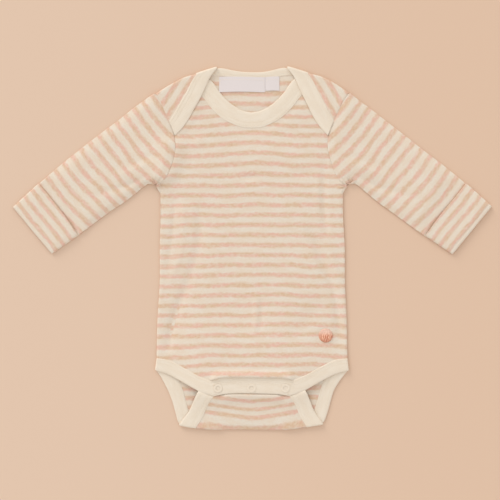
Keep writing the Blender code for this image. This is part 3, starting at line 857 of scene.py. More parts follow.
# aside and in y, for the tongue by the leg bindings, its upper corners, and the back in the neck
AT_BINDINGS, TONGUE_CORNERS, TONGUE_RISES = (25, 12), (29, 10), (-174, 26)
NECK_SIDES, NECK_BEGINS = (54, -10), (126, 10)
FRONT_PUCKER, SLEEVE_PUCKER = 0.75, 0.85
UNDERARM, PUCKER_START, PUCKER_END = Mark(98, 64.5), 4, 13.0
GATHERS = 13
# how far from its edge a binding or seam still holds the cloth down
NECK_HOLD, LEG_HOLD, BACK_HOLD, LAP_HOLD, TONGUE_HOLD, SEAM_HOLD, ARMHOLE_HOLD = 8, 12, 12, 10, 10, 9, 5
CROTCH_REACH = 26
ARMHOLE_ROLL = 2.2
BADGE_FLAT, BESIDE_HEM = (5, 7), (44, -6)
PUFF_RISE, PUFF_FALL = 1.2, 8.8
LAP_EDGE = curve(LAP_BAND)[:, :2]
NECK_EDGE = curve(FRONT_NECK_BAND)[:, :2]
NECK_SWELL, NECK_SWELL_INSIDE = 0.4, 0.4
HEM_PUFF = 2.6
FRONT_EDGE = run(curve(PLACKET)[:, :2], curve(LEG_BAND_FRONT)[:, :2])
TONGUE_LIFT = 2.0
SWELL, SWELL_ASIDE = 3.8, 1.2
SWELL_START, SWELL_TOP, SWELL_FALL = -1.6, 1.4, 8.0
FOLD_FALL, FOLD_FALL_REACH = 1.5, 4.5


def lap_level(plan):
    """A lap's middle: on the neck binding, and below that binding a little lower, on the front itself."""
    return LAP_LEVEL - LAP_SINK * eased(plan[..., 1], *BELOW_NECK)


def pucker(plan, height):
    """Small gathers that fan out from the underarm: a sine of the angle round it, fading with distance."""
    x, y = np.abs(plan[..., 0]) - UNDERARM.x, plan[..., 1] - UNDERARM.y
    away = np.hypot(x, y)
    fan = np.sin(GATHERS * np.arctan2(y, x) + 0.5 * np.sign(plan[..., 0]))
    fade = 1 - eased(away, PUCKER_START, PUCKER_END - PUCKER_START)
    return height * fan * smooth(away / PUCKER_START) * fade


def bunched(plan, away):
    """How far the cloth bunches up along the lower half of the left armhole's seam, by distance from it."""
    y = plan[..., 1]
    ridge = ARMHOLE_LIFT * np.exp(-((away / ARMHOLE_LIFT_WIDTH) ** 2))
    return ridge * eased(y, *BUNCH_LOW) * (1 - eased(y, *BUNCH_HIGH))


def side_seam_height(plan):
    """Where the front and the back meet at the side: between them, higher beside the leg bindings."""
    at_leg = close_to(gap_to(plan, LEG_SEAM), SEAM_HOLD)
    front = FRONT_LEVEL + (CROTCH_LEVEL - FRONT_LEVEL + crotch_rise(plan)) * at_leg
    back = BACK_LEVEL + (BACK_BAND_LEVEL - BACK_LEVEL) * at_leg
    return back + SEAM_SHARE * (front - back)


def puff(gap):
    """A ridge of cloth beside a seam: none on it, full at PUFF_RISE from it, gone PUFF_FALL beyond that."""
    return smooth(gap / PUFF_RISE) * (1 - smooth((gap - PUFF_RISE) / PUFF_FALL))


def past_lap_edge(plan):
    """How far a plan point is under a lap, and below 0, how far it is beside one."""
    return np.abs(plan[..., 0]) - np.interp(plan[..., 1], LAP_EDGE[::-1, 1], LAP_EDGE[::-1, 0])


def under_laps(plan):
    """1 under the laps, where the cloth is pressed flat, 0 beside them."""
    return eased(past_lap_edge(plan), *LAP_COVERS) * eased(plan[..., 1], *LAPS_BEGIN)


def beside_laps(plan):
    """A low ridge of cloth just beside the laps' edges."""
    beside = -past_lap_edge(plan)
    ridge = eased(beside, *RIDGE_RISES) * (1 - eased(beside, *RIDGE_FALLS))
    return ridge * eased(plan[..., 1], *RIDGE_BEGINS)


def tongue_lift(plan):
    """How far the snaps pull the tongue's upper corners up towards the front, how it swells out from under
    the front's lower edge, and how far it falls to the crotch's fold."""
    aside, y = np.abs(plan[..., 0]), plan[..., 1]
    beyond = np.interp(aside, FRONT_EDGE[:, 0], FRONT_EDGE[:, 1]) - y
    at_bindings = eased(aside, *AT_BINDINGS)
    rise = eased(beyond, SWELL_START, SWELL_TOP - SWELL_START)
    past_top = np.exp(-((np.maximum(beyond - SWELL_TOP, 0) / SWELL_FALL) ** 2))
    swell = (SWELL + (SWELL_ASIDE - SWELL) * at_bindings) * rise * past_top
    fall = FOLD_FALL * (1 - smooth(gap_to(plan, curve(CROTCH_FOLD)) / FOLD_FALL_REACH))
    corners = TONGUE_LIFT * eased(y, *TONGUE_RISES) * eased(aside, *TONGUE_CORNERS)
    return corners + swell - fall * (1 - at_bindings)


def front_height(plan):
    """The front's middle: level at the neck, up to the bindings round the crotch, a low belly between them,
    and its creases. It rolls down to the side seams and dips a little into the armholes' seams."""
    at_legs = gap_to(plan, LEG_SEAM, PLACKET_SEAM)
    bound = np.maximum(close_to(at_legs, LEG_HOLD), close_to(gap_to(plan, NECK_SEAM), NECK_HOLD))
    at_side = gap_to(plan, SIDE_LINE)
    inside = smooth(np.minimum(at_side, gap_to(plan, ARMHOLE_LINE)) / BELLY_REACH)
    fade = 1 - BELLY_TOP_LOSS * eased(plan[..., 1], *BELLY_TOP)
    belly = BELLY * inside * fade * (1 - close_to(at_legs, BELLY_REACH))
    height = FRONT_LEVEL + (CROTCH_LEVEL - FRONT_LEVEL) * close_to(at_legs, CROTCH_REACH) + crotch_rise(plan)
    under_badge = np.hypot(plan[..., 0] - BADGE.x, plan[..., 1] - BADGE.y)
    flat = 0.3 + 0.7 * eased(under_badge, *BADGE_FLAT)
    free = (1 - bound) * smooth(gap_to(plan, ARMHOLE_LINE) / ARMHOLE_HOLD) * flat
    height += free * (belly + relief(plan, FRONT_CREASES) + unevenness(plan)) * (1 - under_laps(plan))
    height += LAP_PUFF * beside_laps(plan) * smooth(gap_to(plan, NECK_SEAM) / 6) + pucker(plan, FRONT_PUCKER)
    to_placket = gap_to(plan, PLACKET_SEAM)
    above = plan[..., 1] > np.interp(np.abs(plan[..., 0]), PLACKET_SEAM[:, 0], PLACKET_SEAM[:, 1])
    height += HEM_PUFF * above * eased(np.abs(plan[..., 0]), *BESIDE_HEM) * puff(to_placket)
    height += FRONT_BUNCH * bunched(plan, gap_to(plan, ARMHOLE_LINE)) * (plan[..., 0] < 0)
    drop = height - side_seam_height(plan) - JERSEY / 2
    height -= rolled(at_side, SIDE_ROLL, drop)
    return height - rolled(gap_to(plan, ARMHOLE_LINE), ARMHOLE_ROLL, SEAM_DITCH)


def in_neck(plan):
    """How far the back swells up into the neck's opening, a little more away from the front's binding."""
    aside, y = np.abs(plan[..., 0]), plan[..., 1]
    inside = y > np.interp(aside, NECK_EDGE[:, 0], NECK_EDGE[:, 1])
    near = eased(aside, *NECK_SIDES) * eased(y, *NECK_BEGINS)
    return near * (NECK_SWELL + NECK_SWELL_INSIDE * inside * smooth(gap_to(plan, NECK_EDGE) / 5))


def back_height(plan):
    """The back's middle: on the ground, a little higher where bindings hold its edge and in its creases, and
    turned up at the side seams to meet the front."""
    bound = close_to(gap_to(plan, BACK_NECK_SEAM, BACK_LEG_SEAM), BACK_HOLD)
    lift = relief(plan, BACK_CREASES) + in_neck(plan)
    height = BACK_LEVEL + (BACK_BAND_LEVEL - BACK_LEVEL) * bound + (1 - bound) * lift
    rise = side_seam_height(plan) - JERSEY / 2 - height
    return height + rolled(gap_to(plan, SIDE_LINE), SIDE_ROLL, rise)


def lap_height(plan):
    """A lap's middle: over the front, with its crease, dipping into the armhole's seam."""
    bound = close_to(gap_to(plan, LAP_SEAM), LAP_HOLD)
    raise_by = (1 - bound) * (relief(plan, LAP_CREASES) + unevenness(plan) + 0.2)
    return lap_level(plan) + raise_by - rolled(gap_to(plan, ARMHOLE_LINE), ARMHOLE_ROLL, SEAM_DITCH)


def tongue_height(plan):
    """The tongue's middle: level where bindings hold it, with a few creases between them."""
    held = gap_to(plan, TONGUE_SEAM, curve(STUD_STRIP)[:, 2:])
    free = (1 - close_to(held, TONGUE_HOLD)) * (0.35 + relief(plan, TONGUE_CREASES))
    return CROTCH_LEVEL + tongue_lift(plan) + free


def make_back(look):
    """The back: its flat layer, a lap folded over each shoulder and the tongue folded over the crotch."""
    neck, fold = even(tuck_line(BACK_NECK_BAND), 24), at_shares(curve(SHOULDER_FOLD), crowded_last(26))
    crotch = at_shares(curve(CROTCH_FOLD), crowded_last(50, 0.6))
    leg = even(tuck_line(LEG_BAND_BACK)[::-1], 40)
    neck[-1], leg[0], leg[-1] = fold[0], crotch[-1], SIDE[0]
    join = even(np.array((SIDE[-1], ARMHOLE[0])), 6)
    outer = run(leg, even(curve(SIDE), 70), join, even(curve(ARMHOLE), 44))
    plan = patch(crotch, run(neck, fold), centre_line(crotch[0, 1], neck[0, 1], outer), outer)
    flat = raised(plan, back_height(plan))

    shoulder = turn(fold, left_normals(fold), back_height(fold), lap_height(fold), 10)
    edge = tuck_line(LAP_BAND)
    edge[0] = fold[0]
    inner, lower = even(edge, 14, stop=LAP_CORNER_SHARE), even(edge, 26, start=LAP_CORNER_SHARE)
    armhole = even(curve(ARMHOLE), 14, start=LAP_ARMHOLE_SHARE)[::-1]
    lower[-1] = armhole[-1]
    plan = patch(fold, lower, inner, armhole)
    lap = raised(plan, lap_height(plan))

    under = turn(crotch, -left_normals(crotch), back_height(crotch), tongue_height(crotch), 10)
    side = even(tuck_line(LEG_BAND_TONGUE), 26, stop=TONGUE_SHARE)
    side[0] = crotch[-1]
    end = side[-1] * np.column_stack([lengths(crotch) / lengths(crotch)[-1], np.ones(len(crotch))])
    plan = patch(crotch, end, centre_line(crotch[0, 1], end[0, 1], side), side)
    tongue = raised(plan, tongue_height(plan))

    half = [(flat, back_chart), (shoulder, lap_chart), (lap, lap_chart)]
    half += [(under[::-1], tongue_chart), (tongue[::-1], tongue_chart)]
    return cloth("back", both_halves(half), look)


def make_front(look):
    """The front, from the neck binding down to the leg bindings and the placket."""
    hem, leg = even(tuck_line(PLACKET), 22), at_shares(tuck_line(LEG_BAND_FRONT), crowded_last(38, 0.6))
    leg[0], leg[-1] = hem[-1], SIDE[0]
    neck = at_shares(tuck_line(FRONT_NECK_BAND), crowded_last(60, 0.4))
    armhole = even(curve(ARMHOLE), 52, stop=FRONT_ARMHOLE_SHARE)
    neck[-1] = armhole[-1]
    side = at_shares(curve(SIDE), crowded_first(112, 0.7))
    outer = run(side, even(np.array((SIDE[-1], ARMHOLE[0])), 9), armhole)
    plan = patch(run(hem, leg), neck, centre_line(hem[0, 1], neck[0, 1], outer), outer)
    plan = np.concatenate([flip(plan)[:0:-1], plan])
    return cloth("front", [Part(raised(plan, front_height(plan)), front_chart(plan))], look)


# ======== sleeves and mitts ========

HEAD_LINE = curve(SLEEVE_HEAD)
MOUTH_LINE, CUFF_LINE = curve(MITT_MOUTH), curve(MITT_CUFF)
SLEEVE_DOME, SLEEVE_DOME_REACH = 1.3, 15.0
UNDERARM_SHARE = 0.82
MOUTH_GROOVE = 0.95
SLEEVE_EDGE_FALL = 0.7
MOUTH_LIFT = 0.45
HEM_GROOVE, HEM_WIDTH, HEM_SOFTNESS = 0.4, 3.2, 0.9
# starts and reaches: in y for the laps over the head and the mouth's groove, down the sleeve for the mitt
LAPS_OVER, MOUTH_DEEPENS, MITT_COVERS = (104, 14), (56, -30), (112, 16)
# how far from its head and its edges a sleeve's height settles
HEAD_FADE, EDGE_FADE, HEAD_REACH = 10, 6, 45
CUFF_ROLL, CUFF_DROP = 6, 0.8
MITT_FULLNESS, MITT_SIDE_ROLL, MITT_SIDE_DROP = 0.3, 1.7, 1.5


def cuff_drop(plan):
    """How far the sleeve and its mitt come down at the cuff's end."""
    return rolled(nearest(plan, CUFF_LINE)[0], CUFF_ROLL, CUFF_DROP)


def mouth_share(plan):
    """How deep the groove before a mitt's mouth is: full at its lower end, shallow at its upper one."""
    return 0.35 + 0.65 * eased(plan[..., 1], *MOUTH_DEEPENS)


def sleeve_height(plan, bunch):
    """A sleeve's upper layer: level with the front or the lap along its head, falling to the cuff, a little
    full along the middle and flat under the mitt. With bunch it also stands up beside the armhole."""
    to_head = nearest(plan, HEAD_LINE)[0]
    to_edge = np.minimum(nearest(plan, curve(SLEEVE_TOP))[0], nearest(plan, curve(SLEEVE_BOTTOM))[0])
    head = FRONT_LEVEL + (lap_level(plan) - FRONT_LEVEL) * eased(plan[..., 1], *LAPS_OVER)
    height = CUFF_LEVEL + (head - CUFF_LEVEL) * np.clip(1 - to_head / HEAD_REACH, 0, 1) ** 2
    down, _ = sleeve_place(plan)
    to_mouth = nearest(plan, MOUTH_LINE)[0]
    open_air = 1 - eased(down, *MITT_COVERS)
    past_head = smooth(to_head / HEAD_FADE)
    free = past_head * smooth(to_edge / EDGE_FADE)
    dome = 1 - (1 - np.clip(to_edge / SLEEVE_DOME_REACH, 0, 1)) ** 2
    height += open_air * (SLEEVE_DOME * past_head * dome + free * unevenness(plan))
    height += open_air * smooth(to_edge / 3) * smooth(to_head / 5) * relief(plan, SLEEVE_CREASES)
    to_seam = SLEEVE_BUNCH_SPREAD * nearest(plan, ARMHOLE_LINE)[0]
    height += pucker(plan, SLEEVE_PUCKER) + bunch * bunched(plan, to_seam)
    height -= MOUTH_GROOVE * mouth_share(plan) * np.exp(-((to_mouth / 1.5) ** 2))
    height -= SLEEVE_EDGE_FALL * open_air * (1 - smooth(to_edge / 7)) * smooth(to_head / 12)
    return height - rolled(to_head, ARMHOLE_ROLL, SEAM_DITCH) - cuff_drop(plan)


def make_sleeve(side, sign, look):
    """A sleeve: a flattened tube of its upper layer, lower layer and a turn of cloth along each edge.

    The way round the tube is the chart's U, so that the knit runs on over both turns.
    """
    along, across, underarm = 130, 50, 10
    head = at_shares(HEAD_LINE, UNDERARM_SHARE * crowded(across))
    seam = even(HEAD_LINE, underarm, start=UNDERARM_SHARE)
    outlines = [curve(SLEEVE_TOP), curve(SLEEVE_BOTTOM)]
    cuff_way = outlines[1][-1] - outlines[0][-1]
    cuff_way /= np.linalg.norm(cuff_way)
    edges, outs = [], []
    corners, counts = (head[0], seam[-1]), (along, along - underarm)
    for outline, turned, corner, count in zip(outlines, (1, -1), corners, counts):
        line = even(outline, count)
        out = turned * left_normals(line) * smooth(lengths(line) / 5 + 0.1)[:, None]
        inset = (sleeve_height(line, sign < 0) - BACK_LEVEL + JERSEY) / 2
        middle = line - out * inset[:, None]
        middle[0] = corner
        middle[-1] = line[-1] + turned * cuff_way * inset[-1]
        edges.append(middle)
        outs.append(out)
    top, bottom = edges[0], run(seam, edges[1])
    outs[1] = np.vstack([np.zeros((underarm, 2)), outs[1]])
    cuff = top[-1] + crowded(across)[:, None] * (bottom[-1] - top[-1])
    plan = patch(head, cuff, top, bottom)
    over = raised(plan, sleeve_height(plan, sign < 0))
    under = raised(plan, BACK_LEVEL)[::-1]
    at_bottom = turn(bottom, outs[1], BACK_LEVEL, over[-1, :, 2], 8).transpose(1, 0, 2)[::-1]
    at_top = turn(top, outs[0], BACK_LEVEL, over[0, :, 2], 8).transpose(1, 0, 2)
    tube = np.concatenate([over, at_bottom[1:], under[1:], at_top[1:]])
    steps = np.linalg.norm(np.diff(tube, axis=0), axis=-1)
    girth = np.vstack([np.zeros(along + 1), np.cumsum(steps, axis=0)])
    chart = sleeve_chart(tube[..., :2], girth)
    if sign < 0:
        tube, chart = mirrored_grid(tube), chart[::-1]
    return cloth(side + "_sleeve", [Part(tube, chart)], look)


def make_mitt(side, sign, look):
    """A fold-over mitt: a flap on the sleeve's end, its mouth a little open, its sides rolled down to the
    sleeve's edges and its cuff rolled down to the sleeve's end."""
    mouth, cuff = (at_shares(curve(line), crowded(56)) for line in (MITT_MOUTH, MITT_CUFF))
    top, bottom = (at_shares(np.array((mouth[end], cuff[end])), crowded(34, 0.5)) for end in (0, -1))
    plan = patch(mouth, cuff, top, bottom)
    to_side = np.minimum(nearest(plan, top)[0], nearest(plan, bottom)[0])
    to_mouth, to_cuff = nearest(plan, mouth)[0], nearest(plan, cuff)[0]
    free = smooth(to_side / 8)
    full = MITT_FULLNESS * smooth(to_cuff / 10) * smooth(to_mouth / 10)
    height = MITT_LEVEL + free * (MOUTH_LIFT * mouth_share(plan) * np.exp(-to_mouth / 4) + full)
    height += free * relief(plan, MITT_CREASES) - 0.3 * (1 - smooth(to_side / 6))
    height -= cuff_drop(plan) + HEM_GROOVE * np.exp(-(((to_cuff - HEM_WIDTH) / HEM_SOFTNESS) ** 2))
    height -= rolled(to_side, MITT_SIDE_ROLL, MITT_SIDE_DROP)
    grid, chart = raised(plan, height), mitt_chart(plan)
    if sign < 0:
        grid, chart = mirrored_grid(grid), chart[::-1]
    return cloth(side + "_mitt", [Part(grid, chart)], look)


# ======== the bindings and crotch strips ========


def square_to(section, turned):
    """A unit vector square to one section, on its left (1) or its right (-1)."""
    way = section[2:] - section[:2]
    return turned * np.array((-way[1], way[0])) / np.linalg.norm(way)


def neck_ribbons():
    """The front neck binding, and the back one with both laps' edges."""
    right = laid_ribbon(FRONT_NECK_BAND, 80, FRONT_LEVEL)
    front = joined_ribbons(mirrored_ribbon(right), right)
    behind = laid_ribbon(BACK_NECK_BAND, 20, BACK_BAND_LEVEL, out=-1)
    last = curve(BACK_NECK_BAND)[-1]
    over = folded_ribbon(last, square_to(last, 1), BACK_BAND_LEVEL, LAP_LEVEL)
    right = joined_ribbons(behind, over, laid_ribbon(LAP_BAND, 46, lap_level))
    return front, joined_ribbons(mirrored_ribbon(right), right)


def leg_ribbon():
    """The right leg's binding: along the front, round the side, down the back, round the crotch and up the
    tongue."""
    front = laid_ribbon(LEG_BAND_FRONT, 40, lambda plan: CROTCH_LEVEL + crotch_rise(plan))
    back = laid_ribbon(LEG_BAND_BACK, 44, BACK_BAND_LEVEL, out=-1)
    tongue = laid_ribbon(LEG_BAND_TONGUE, 30, lambda plan: CROTCH_LEVEL + tongue_lift(plan))
    first, last = curve(LEG_BAND_BACK)[0], curve(LEG_BAND_BACK)[-1]
    at_side = folded_ribbon(first, square_to(first, -1), BACK_BAND_LEVEL, front.free[-1, 2])
    at_side = Ribbon(*(part[::-1] for part in at_side))
    at_crotch = folded_ribbon(last, square_to(last, 1), BACK_BAND_LEVEL, CROTCH_LEVEL)
    return joined_ribbons(front, at_side, back, at_crotch, tongue)


def strip_ribbon(stations, count, level):
    """A straight strip across the middle, from one half's stations."""
    right = laid_ribbon(stations, count, level)
    return joined_ribbons(mirrored_ribbon(right), right)


def make_bindings(rib, thread):
    """Every binding and strip with its two rows of stitches on each side: a list of both for each piece."""
    front_neck, back_neck = neck_ribbons()
    right_leg = leg_ribbon()
    ribbons = {
        "front_neck_binding": front_neck,
        "back_neck_binding": back_neck,
        "leg_binding_right": right_leg,
        "leg_binding_left": mirrored_ribbon(right_leg),
        "placket": strip_ribbon(PLACKET, 34, PLACKET_LEVEL),
        "stud_strip": strip_ribbon(STUD_STRIP, 24, CROTCH_LEVEL),
    }
    made = {}
    for name, ribbon in ribbons.items():
        if name == "placket":
            rows = ribbon_rows(ribbon, PLACKET_STITCH_SHARES)
            rows += crossing_rows(ribbon, (1, 2, -3, -2), (0.06, 0.8))
        else:
            rows = ribbon_rows(ribbon, STITCH_SHARES)
        made[name] = (binding(name, ribbon, rib), stitches(name + "_stitches", rows, thread))
    return made


# ======== labels, snaps and badge ========

LABEL_LEVEL = underside("neck_label") + 0.3
LABEL_TURN = 0.8
LABEL_ASIDE = -1.6
LABEL_HEM = 1.2
CAP_HALF_WIDTH, CAP_HALF_HEIGHT, CAP_SINK = 1.15, 0.13, 0.16
BADGE_RISE = 2.5


def make_label(name, look):
    """A blank woven label where its node is: a thin sheet, a little bowed, its lower edge lifted."""
    low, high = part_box(name)
    u, v = np.linspace(0, 1, 41)[:, None], np.linspace(0, 1, 41)[None, :]
    x = low.x / MM + LABEL_ASIDE + u * (high.x - low.x) / MM + 0 * v
    y = low.y / MM + v * ((high.y - low.y) / MM + LABEL_TURN) + 0.35 * np.sin(math.pi * u)
    z = LABEL_LEVEL + (0.3 + 0.3 * np.sin(math.pi * u) ** 0.7 + 0.12 * np.sin(2 * math.pi * u)) * (1 - v)
    grid = np.stack(np.broadcast_arrays(x, y, z), axis=-1)
    chart = grid[..., :2] * MM
    quads = grid_faces(*grid.shape[:2])
    return shell(name + "_tape", lie(grid.reshape(-1, 3)), quads, chart.reshape(-1, 2)[quads], SATIN, look)


def label_stitches(name, look):
    """Short rows of stitches down both ends of a label and along its top."""
    low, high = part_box(name)
    left, right = low.x / MM + LABEL_ASIDE + LABEL_HEM, high.x / MM + LABEL_ASIDE - LABEL_HEM
    bottom, top = low.y / MM, high.y / MM - 2
    corners = ((left, bottom + 1), (left, top), (right, top), (right, bottom + 1))
    ends = zip(corners, corners[1:])
    up = np.array((0.0, 0.0, 1.0))
    lines = [(raised(even(np.array(end), 8), LABEL_LEVEL + SATIN / 2), np.tile(up, (9, 1))) for end in ends]
    return stitches(name + "_stitches", lines, look)


def lathe(name, profile, place, look, closed=False, sides=72):
    """A solid of revolution: a profile of (radius, height) carried round a vertical axis.

    A closed profile makes a ring. An open one has a small flat face over each of its ends.
    """
    angle = np.linspace(0, 2 * math.pi, sides, endpoint=False)[None, :]
    radius, height = (np.array(column)[:, None] for column in zip(*profile))
    x, y = place[0] + radius * np.cos(angle), place[1] + radius * np.sin(angle)
    points = np.stack(np.broadcast_arrays(x, y, place[2] + height), axis=-1).reshape(-1, 3)
    number = np.arange(len(points)).reshape(-1, sides)
    ends = np.stack([number[0][::-1], number[-1]])
    if closed:
        number = np.vstack([number, number[:1]])
    around = quads_between(np.column_stack([number, number[:, :1]]), turned=True)
    faces = [around] + ([] if closed else [ends])
    charts = [points[:, :2][part] * MM for part in faces]
    return outward_facing(make_mesh(name, lie(points), faces, charts, look))


def make_caps(look):
    """The snaps' visible rings: rounded, a little flat inside, and sunk a little into the placket."""
    outer = (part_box("snap_cap_centre")[1].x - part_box("snap_cap_centre")[0].x) / 2 / MM
    round_ring = np.linspace(0, 2 * math.pi, 20, endpoint=False)
    ring = [
        (outer - CAP_HALF_WIDTH * (1 - math.cos(angle)), CAP_HALF_HEIGHT * (1 + math.sin(angle)))
        for angle in round_ring
    ]
    caps = {}
    for number, side in ((-1, "left"), (0, "centre"), (1, "right")):
        place = (number * SNAP_PITCH, SNAP_Y, CAP_LEVEL - CAP_SINK)
        caps["snap_cap_" + side] = lathe("snap_ring_" + side, ring, place, look, closed=True)
    return caps


def make_badge(look):
    """The round patch near the hem: a padded dome of stitching, sewn down round its edge."""
    low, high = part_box("hem_badge")
    radius = (high.x - low.x) / 2 / MM
    turned = np.linspace(0.02, math.pi / 2, 26)
    dome = [(radius * math.sin(t), BADGE_RISE * math.cos(t)) for t in turned[:-1]]
    profile = [(0.2, -0.5), (radius, -0.5), (radius, 0)] + dome[::-1]
    ground = float(front_height(np.array((BADGE,)))[0]) + JERSEY / 2
    return lathe("round_patch", profile, (*BADGE, ground), look, sides=96)


# ======== finishes ========


def dye(red, green, blue):
    """A colour given as it looks, each part 0 to 255, in the linear values that a node takes."""
    share = np.array((red, green, blue)) / 255
    linear = np.where(share <= 0.04045, share / 12.92, ((share + 0.055) / 1.055) ** 2.4)
    return (*(float(part) for part in linear), 1.0)


CREAM, WARM_CREAM = dye(234, 223, 206), dye(233, 218, 198)
PINK, TAN, PALE_TAN = dye(229, 180, 160), dye(217, 182, 147), dye(233, 204, 181)
RIB_CREAM, RIB_SHADE = dye(238, 223, 203), dye(235, 218, 196)
SATIN_WHITE, SATIN_SHADE = dye(231, 220, 216), dye(222, 210, 206)
SNAP_CREAM = dye(236, 221, 201)
# rose thread colours: the pale one is a painted highlight for the patch's upper side; the deep one is the
# thread's own deep tone and also paints shade on its lower side
ROSE, DEEP_ROSE_AND_PAINTED_SHADE, PAINTED_ROSE_HIGHLIGHT = dye(250, 192, 158), dye(206, 124, 92), dye(244, 212, 193)
THREAD_CREAM = dye(240, 226, 206)
# the floor's colour, and a darker one for its right side: painted shade
BACKDROP, BACKDROP_PAINTED_SHADE_RIGHT = dye(226, 196, 171), dye(223, 190, 163)

# ---- in metres: how far apart ribs and threads lie, and where the patch's overcast rim begins ----
WALE, COURSE = 0.0009, 0.00065
RIB_WALE, RIB_COURSE, RIB_PITCH = 0.0008, 0.0006, 0.0016
SATIN_PITCH, ROSE_PITCH = 0.0005, 0.0021
ROSE_RAYS = 84
RIM_START, RIM_FULL = 0.0053, 0.0057


class Nodes:
    """A node tree that is being filled in: each method adds nodes and gives an output, or several."""

    def __init__(self, tree):
        self.tree = tree

    def new(self, kind, inputs=(), **settings):
        """A new node with its settings, and each of some inputs linked or given its value."""
        node = self.tree.nodes.new(kind)
        for name, value in settings.items():
            setattr(node, name, value)
        for socket, value in dict(inputs).items():
            if isinstance(value, bpy.types.NodeSocket):
                self.tree.links.new(value, node.inputs[socket])
            else:
                node.inputs[socket].default_value = value
        return node

    def add(self, kind, inputs=(), **settings):
        return self.new(kind, inputs, **settings).outputs[0]

    def maths(self, operation, *values):
        return self.add("ShaderNodeMath", enumerate(values), operation=operation)

    def times(self, one, other):
        return self.maths("MULTIPLY", one, other)

    def waves(self, value, pitch):
        """A sine of the value with its crests a pitch apart."""
        return self.maths("SINE", self.times(value, 2 * math.pi / pitch))

    def split(self, vector):
        """A vector's parts: x, y and z."""
        return self.new("ShaderNodeSeparateXYZ", {0: vector}).outputs

    def chart(self):
        return self.add("ShaderNodeUVMap", uv_map="chart")

    def place(self):
        """Where a point is on its object, in metres."""
        return self.new("ShaderNodeTexCoord").outputs["Object"]

    def scaled(self, vector, factors):
        return self.add("ShaderNodeVectorMath", {0: vector, 1: factors}, operation="MULTIPLY")

    def noise(self, vector, detail=2.0, roughness=0.5):
        sockets = {"Vector": vector, "Scale": 1.0, "Detail": detail, "Roughness": roughness}
        return self.add("ShaderNodeTexNoise", sockets)

    def band(self, value, low, high, to_low=0.0, to_high=1.0):
        """The value's stretch from low to high as a smooth step from to_low to to_high."""
        sockets = {"Value": value, "From Min": low, "From Max": high, "To Min": to_low, "To Max": to_high}
        return self.add("ShaderNodeMapRange", sockets, interpolation_type="SMOOTHSTEP")

    def mixed(self, share, one, other):
        return self.new("ShaderNodeMix", {0: share, 6: one, 7: other}, data_type="RGBA").outputs[2]

    def group(self, tree, **inputs):
        """A placed group: its outputs by name."""
        return self.new("ShaderNodeGroup", inputs, node_tree=tree).outputs


def new_group(name, inputs, outputs):
    """An empty node group with its sockets: its nodes, its inputs by name and its output node."""
    tree = bpy.data.node_groups.new(name, "ShaderNodeTree")
    for socket, kind in inputs.items():
        tree.interface.new_socket(socket, in_out="INPUT", socket_type=kind)
    for socket in outputs:
        tree.interface.new_socket(socket, in_out="OUTPUT", socket_type="NodeSocketFloat")
    entry = tree.nodes.new("NodeGroupInput")
    return Nodes(tree), entry.outputs, tree.nodes.new("NodeGroupOutput")


def knit_relief_group():
    """How high knitted cloth stands at a chart place: two slanting legs to each stitch, in wales that run
    along V and courses that run along U."""
    nodes, entry, leave = new_group(
        "knit_relief",
        {"Chart": "NodeSocketVector", "Wale": "NodeSocketFloat", "Course": "NodeSocketFloat"},
        ["Height"],
    )
    u, v, _ = nodes.split(entry["Chart"])
    leg = nodes.maths("PINGPONG", nodes.maths("DIVIDE", u, entry["Wale"]), 0.5)
    body = nodes.waves(leg, 1)
    row = nodes.maths("ADD", nodes.maths("DIVIDE", v, entry["Course"]), leg)
    loop = nodes.maths("PINGPONG", row, 0.5)
    height = nodes.times(body, nodes.maths("MULTIPLY_ADD", loop, 1.2, 0.4))
    nodes.tree.links.new(height, leave.inputs["Height"])
    return nodes.tree


def yarn_group():
    """How uneven dyed yarn is along a course: long soft patches, slubs, short streaks and single fibres."""
    outputs = ["Patches", "Slubs", "Streaks", "Fibres"]
    nodes, entry, leave = new_group("yarn", {"Chart": "NodeSocketVector"}, outputs)
    chart = entry["Chart"]
    patches = nodes.band(nodes.noise(nodes.scaled(chart, (60, 210, 1))), 0.36, 0.64)
    slubs = nodes.band(nodes.noise(nodes.scaled(chart, (210, 420, 1)), 3.0, 0.7), 0.3, 0.7)
    streaks = nodes.noise(nodes.scaled(chart, (260, 1500, 1)), 3.0, 0.6)
    fibres = nodes.band(nodes.noise(nodes.scaled(chart, (620, 900, 1)), 2.0, 0.6), 0.32, 0.68)
    for name, value in zip(outputs, (patches, slubs, streaks, fibres)):
        nodes.tree.links.new(value, leave.inputs[name])
    return nodes.tree


def start_material(name, roughness, **constants):
    """A new material, its nodes and its Principled shader with the constants on its own sockets."""
    material = bpy.data.materials.new(name)
    material.use_nodes = True
    shader = material.node_tree.nodes["Principled BSDF"]
    shader.inputs["Roughness"].default_value = roughness
    shader.inputs["Metallic"].default_value = 0.0
    for socket, value in constants.items():
        shader.inputs[socket.replace("_", " ")].default_value = value
    return material, Nodes(material.node_tree), shader


def connect(nodes, shader, colour, height, strength, distance):
    """The colour, and a bump of the height, into the shader."""
    bump = {"Strength": strength, "Distance": distance, "Height": height}
    nodes.tree.links.new(colour, shader.inputs["Base Color"])
    nodes.tree.links.new(nodes.add("ShaderNodeBump", bump), shader.inputs["Normal"])


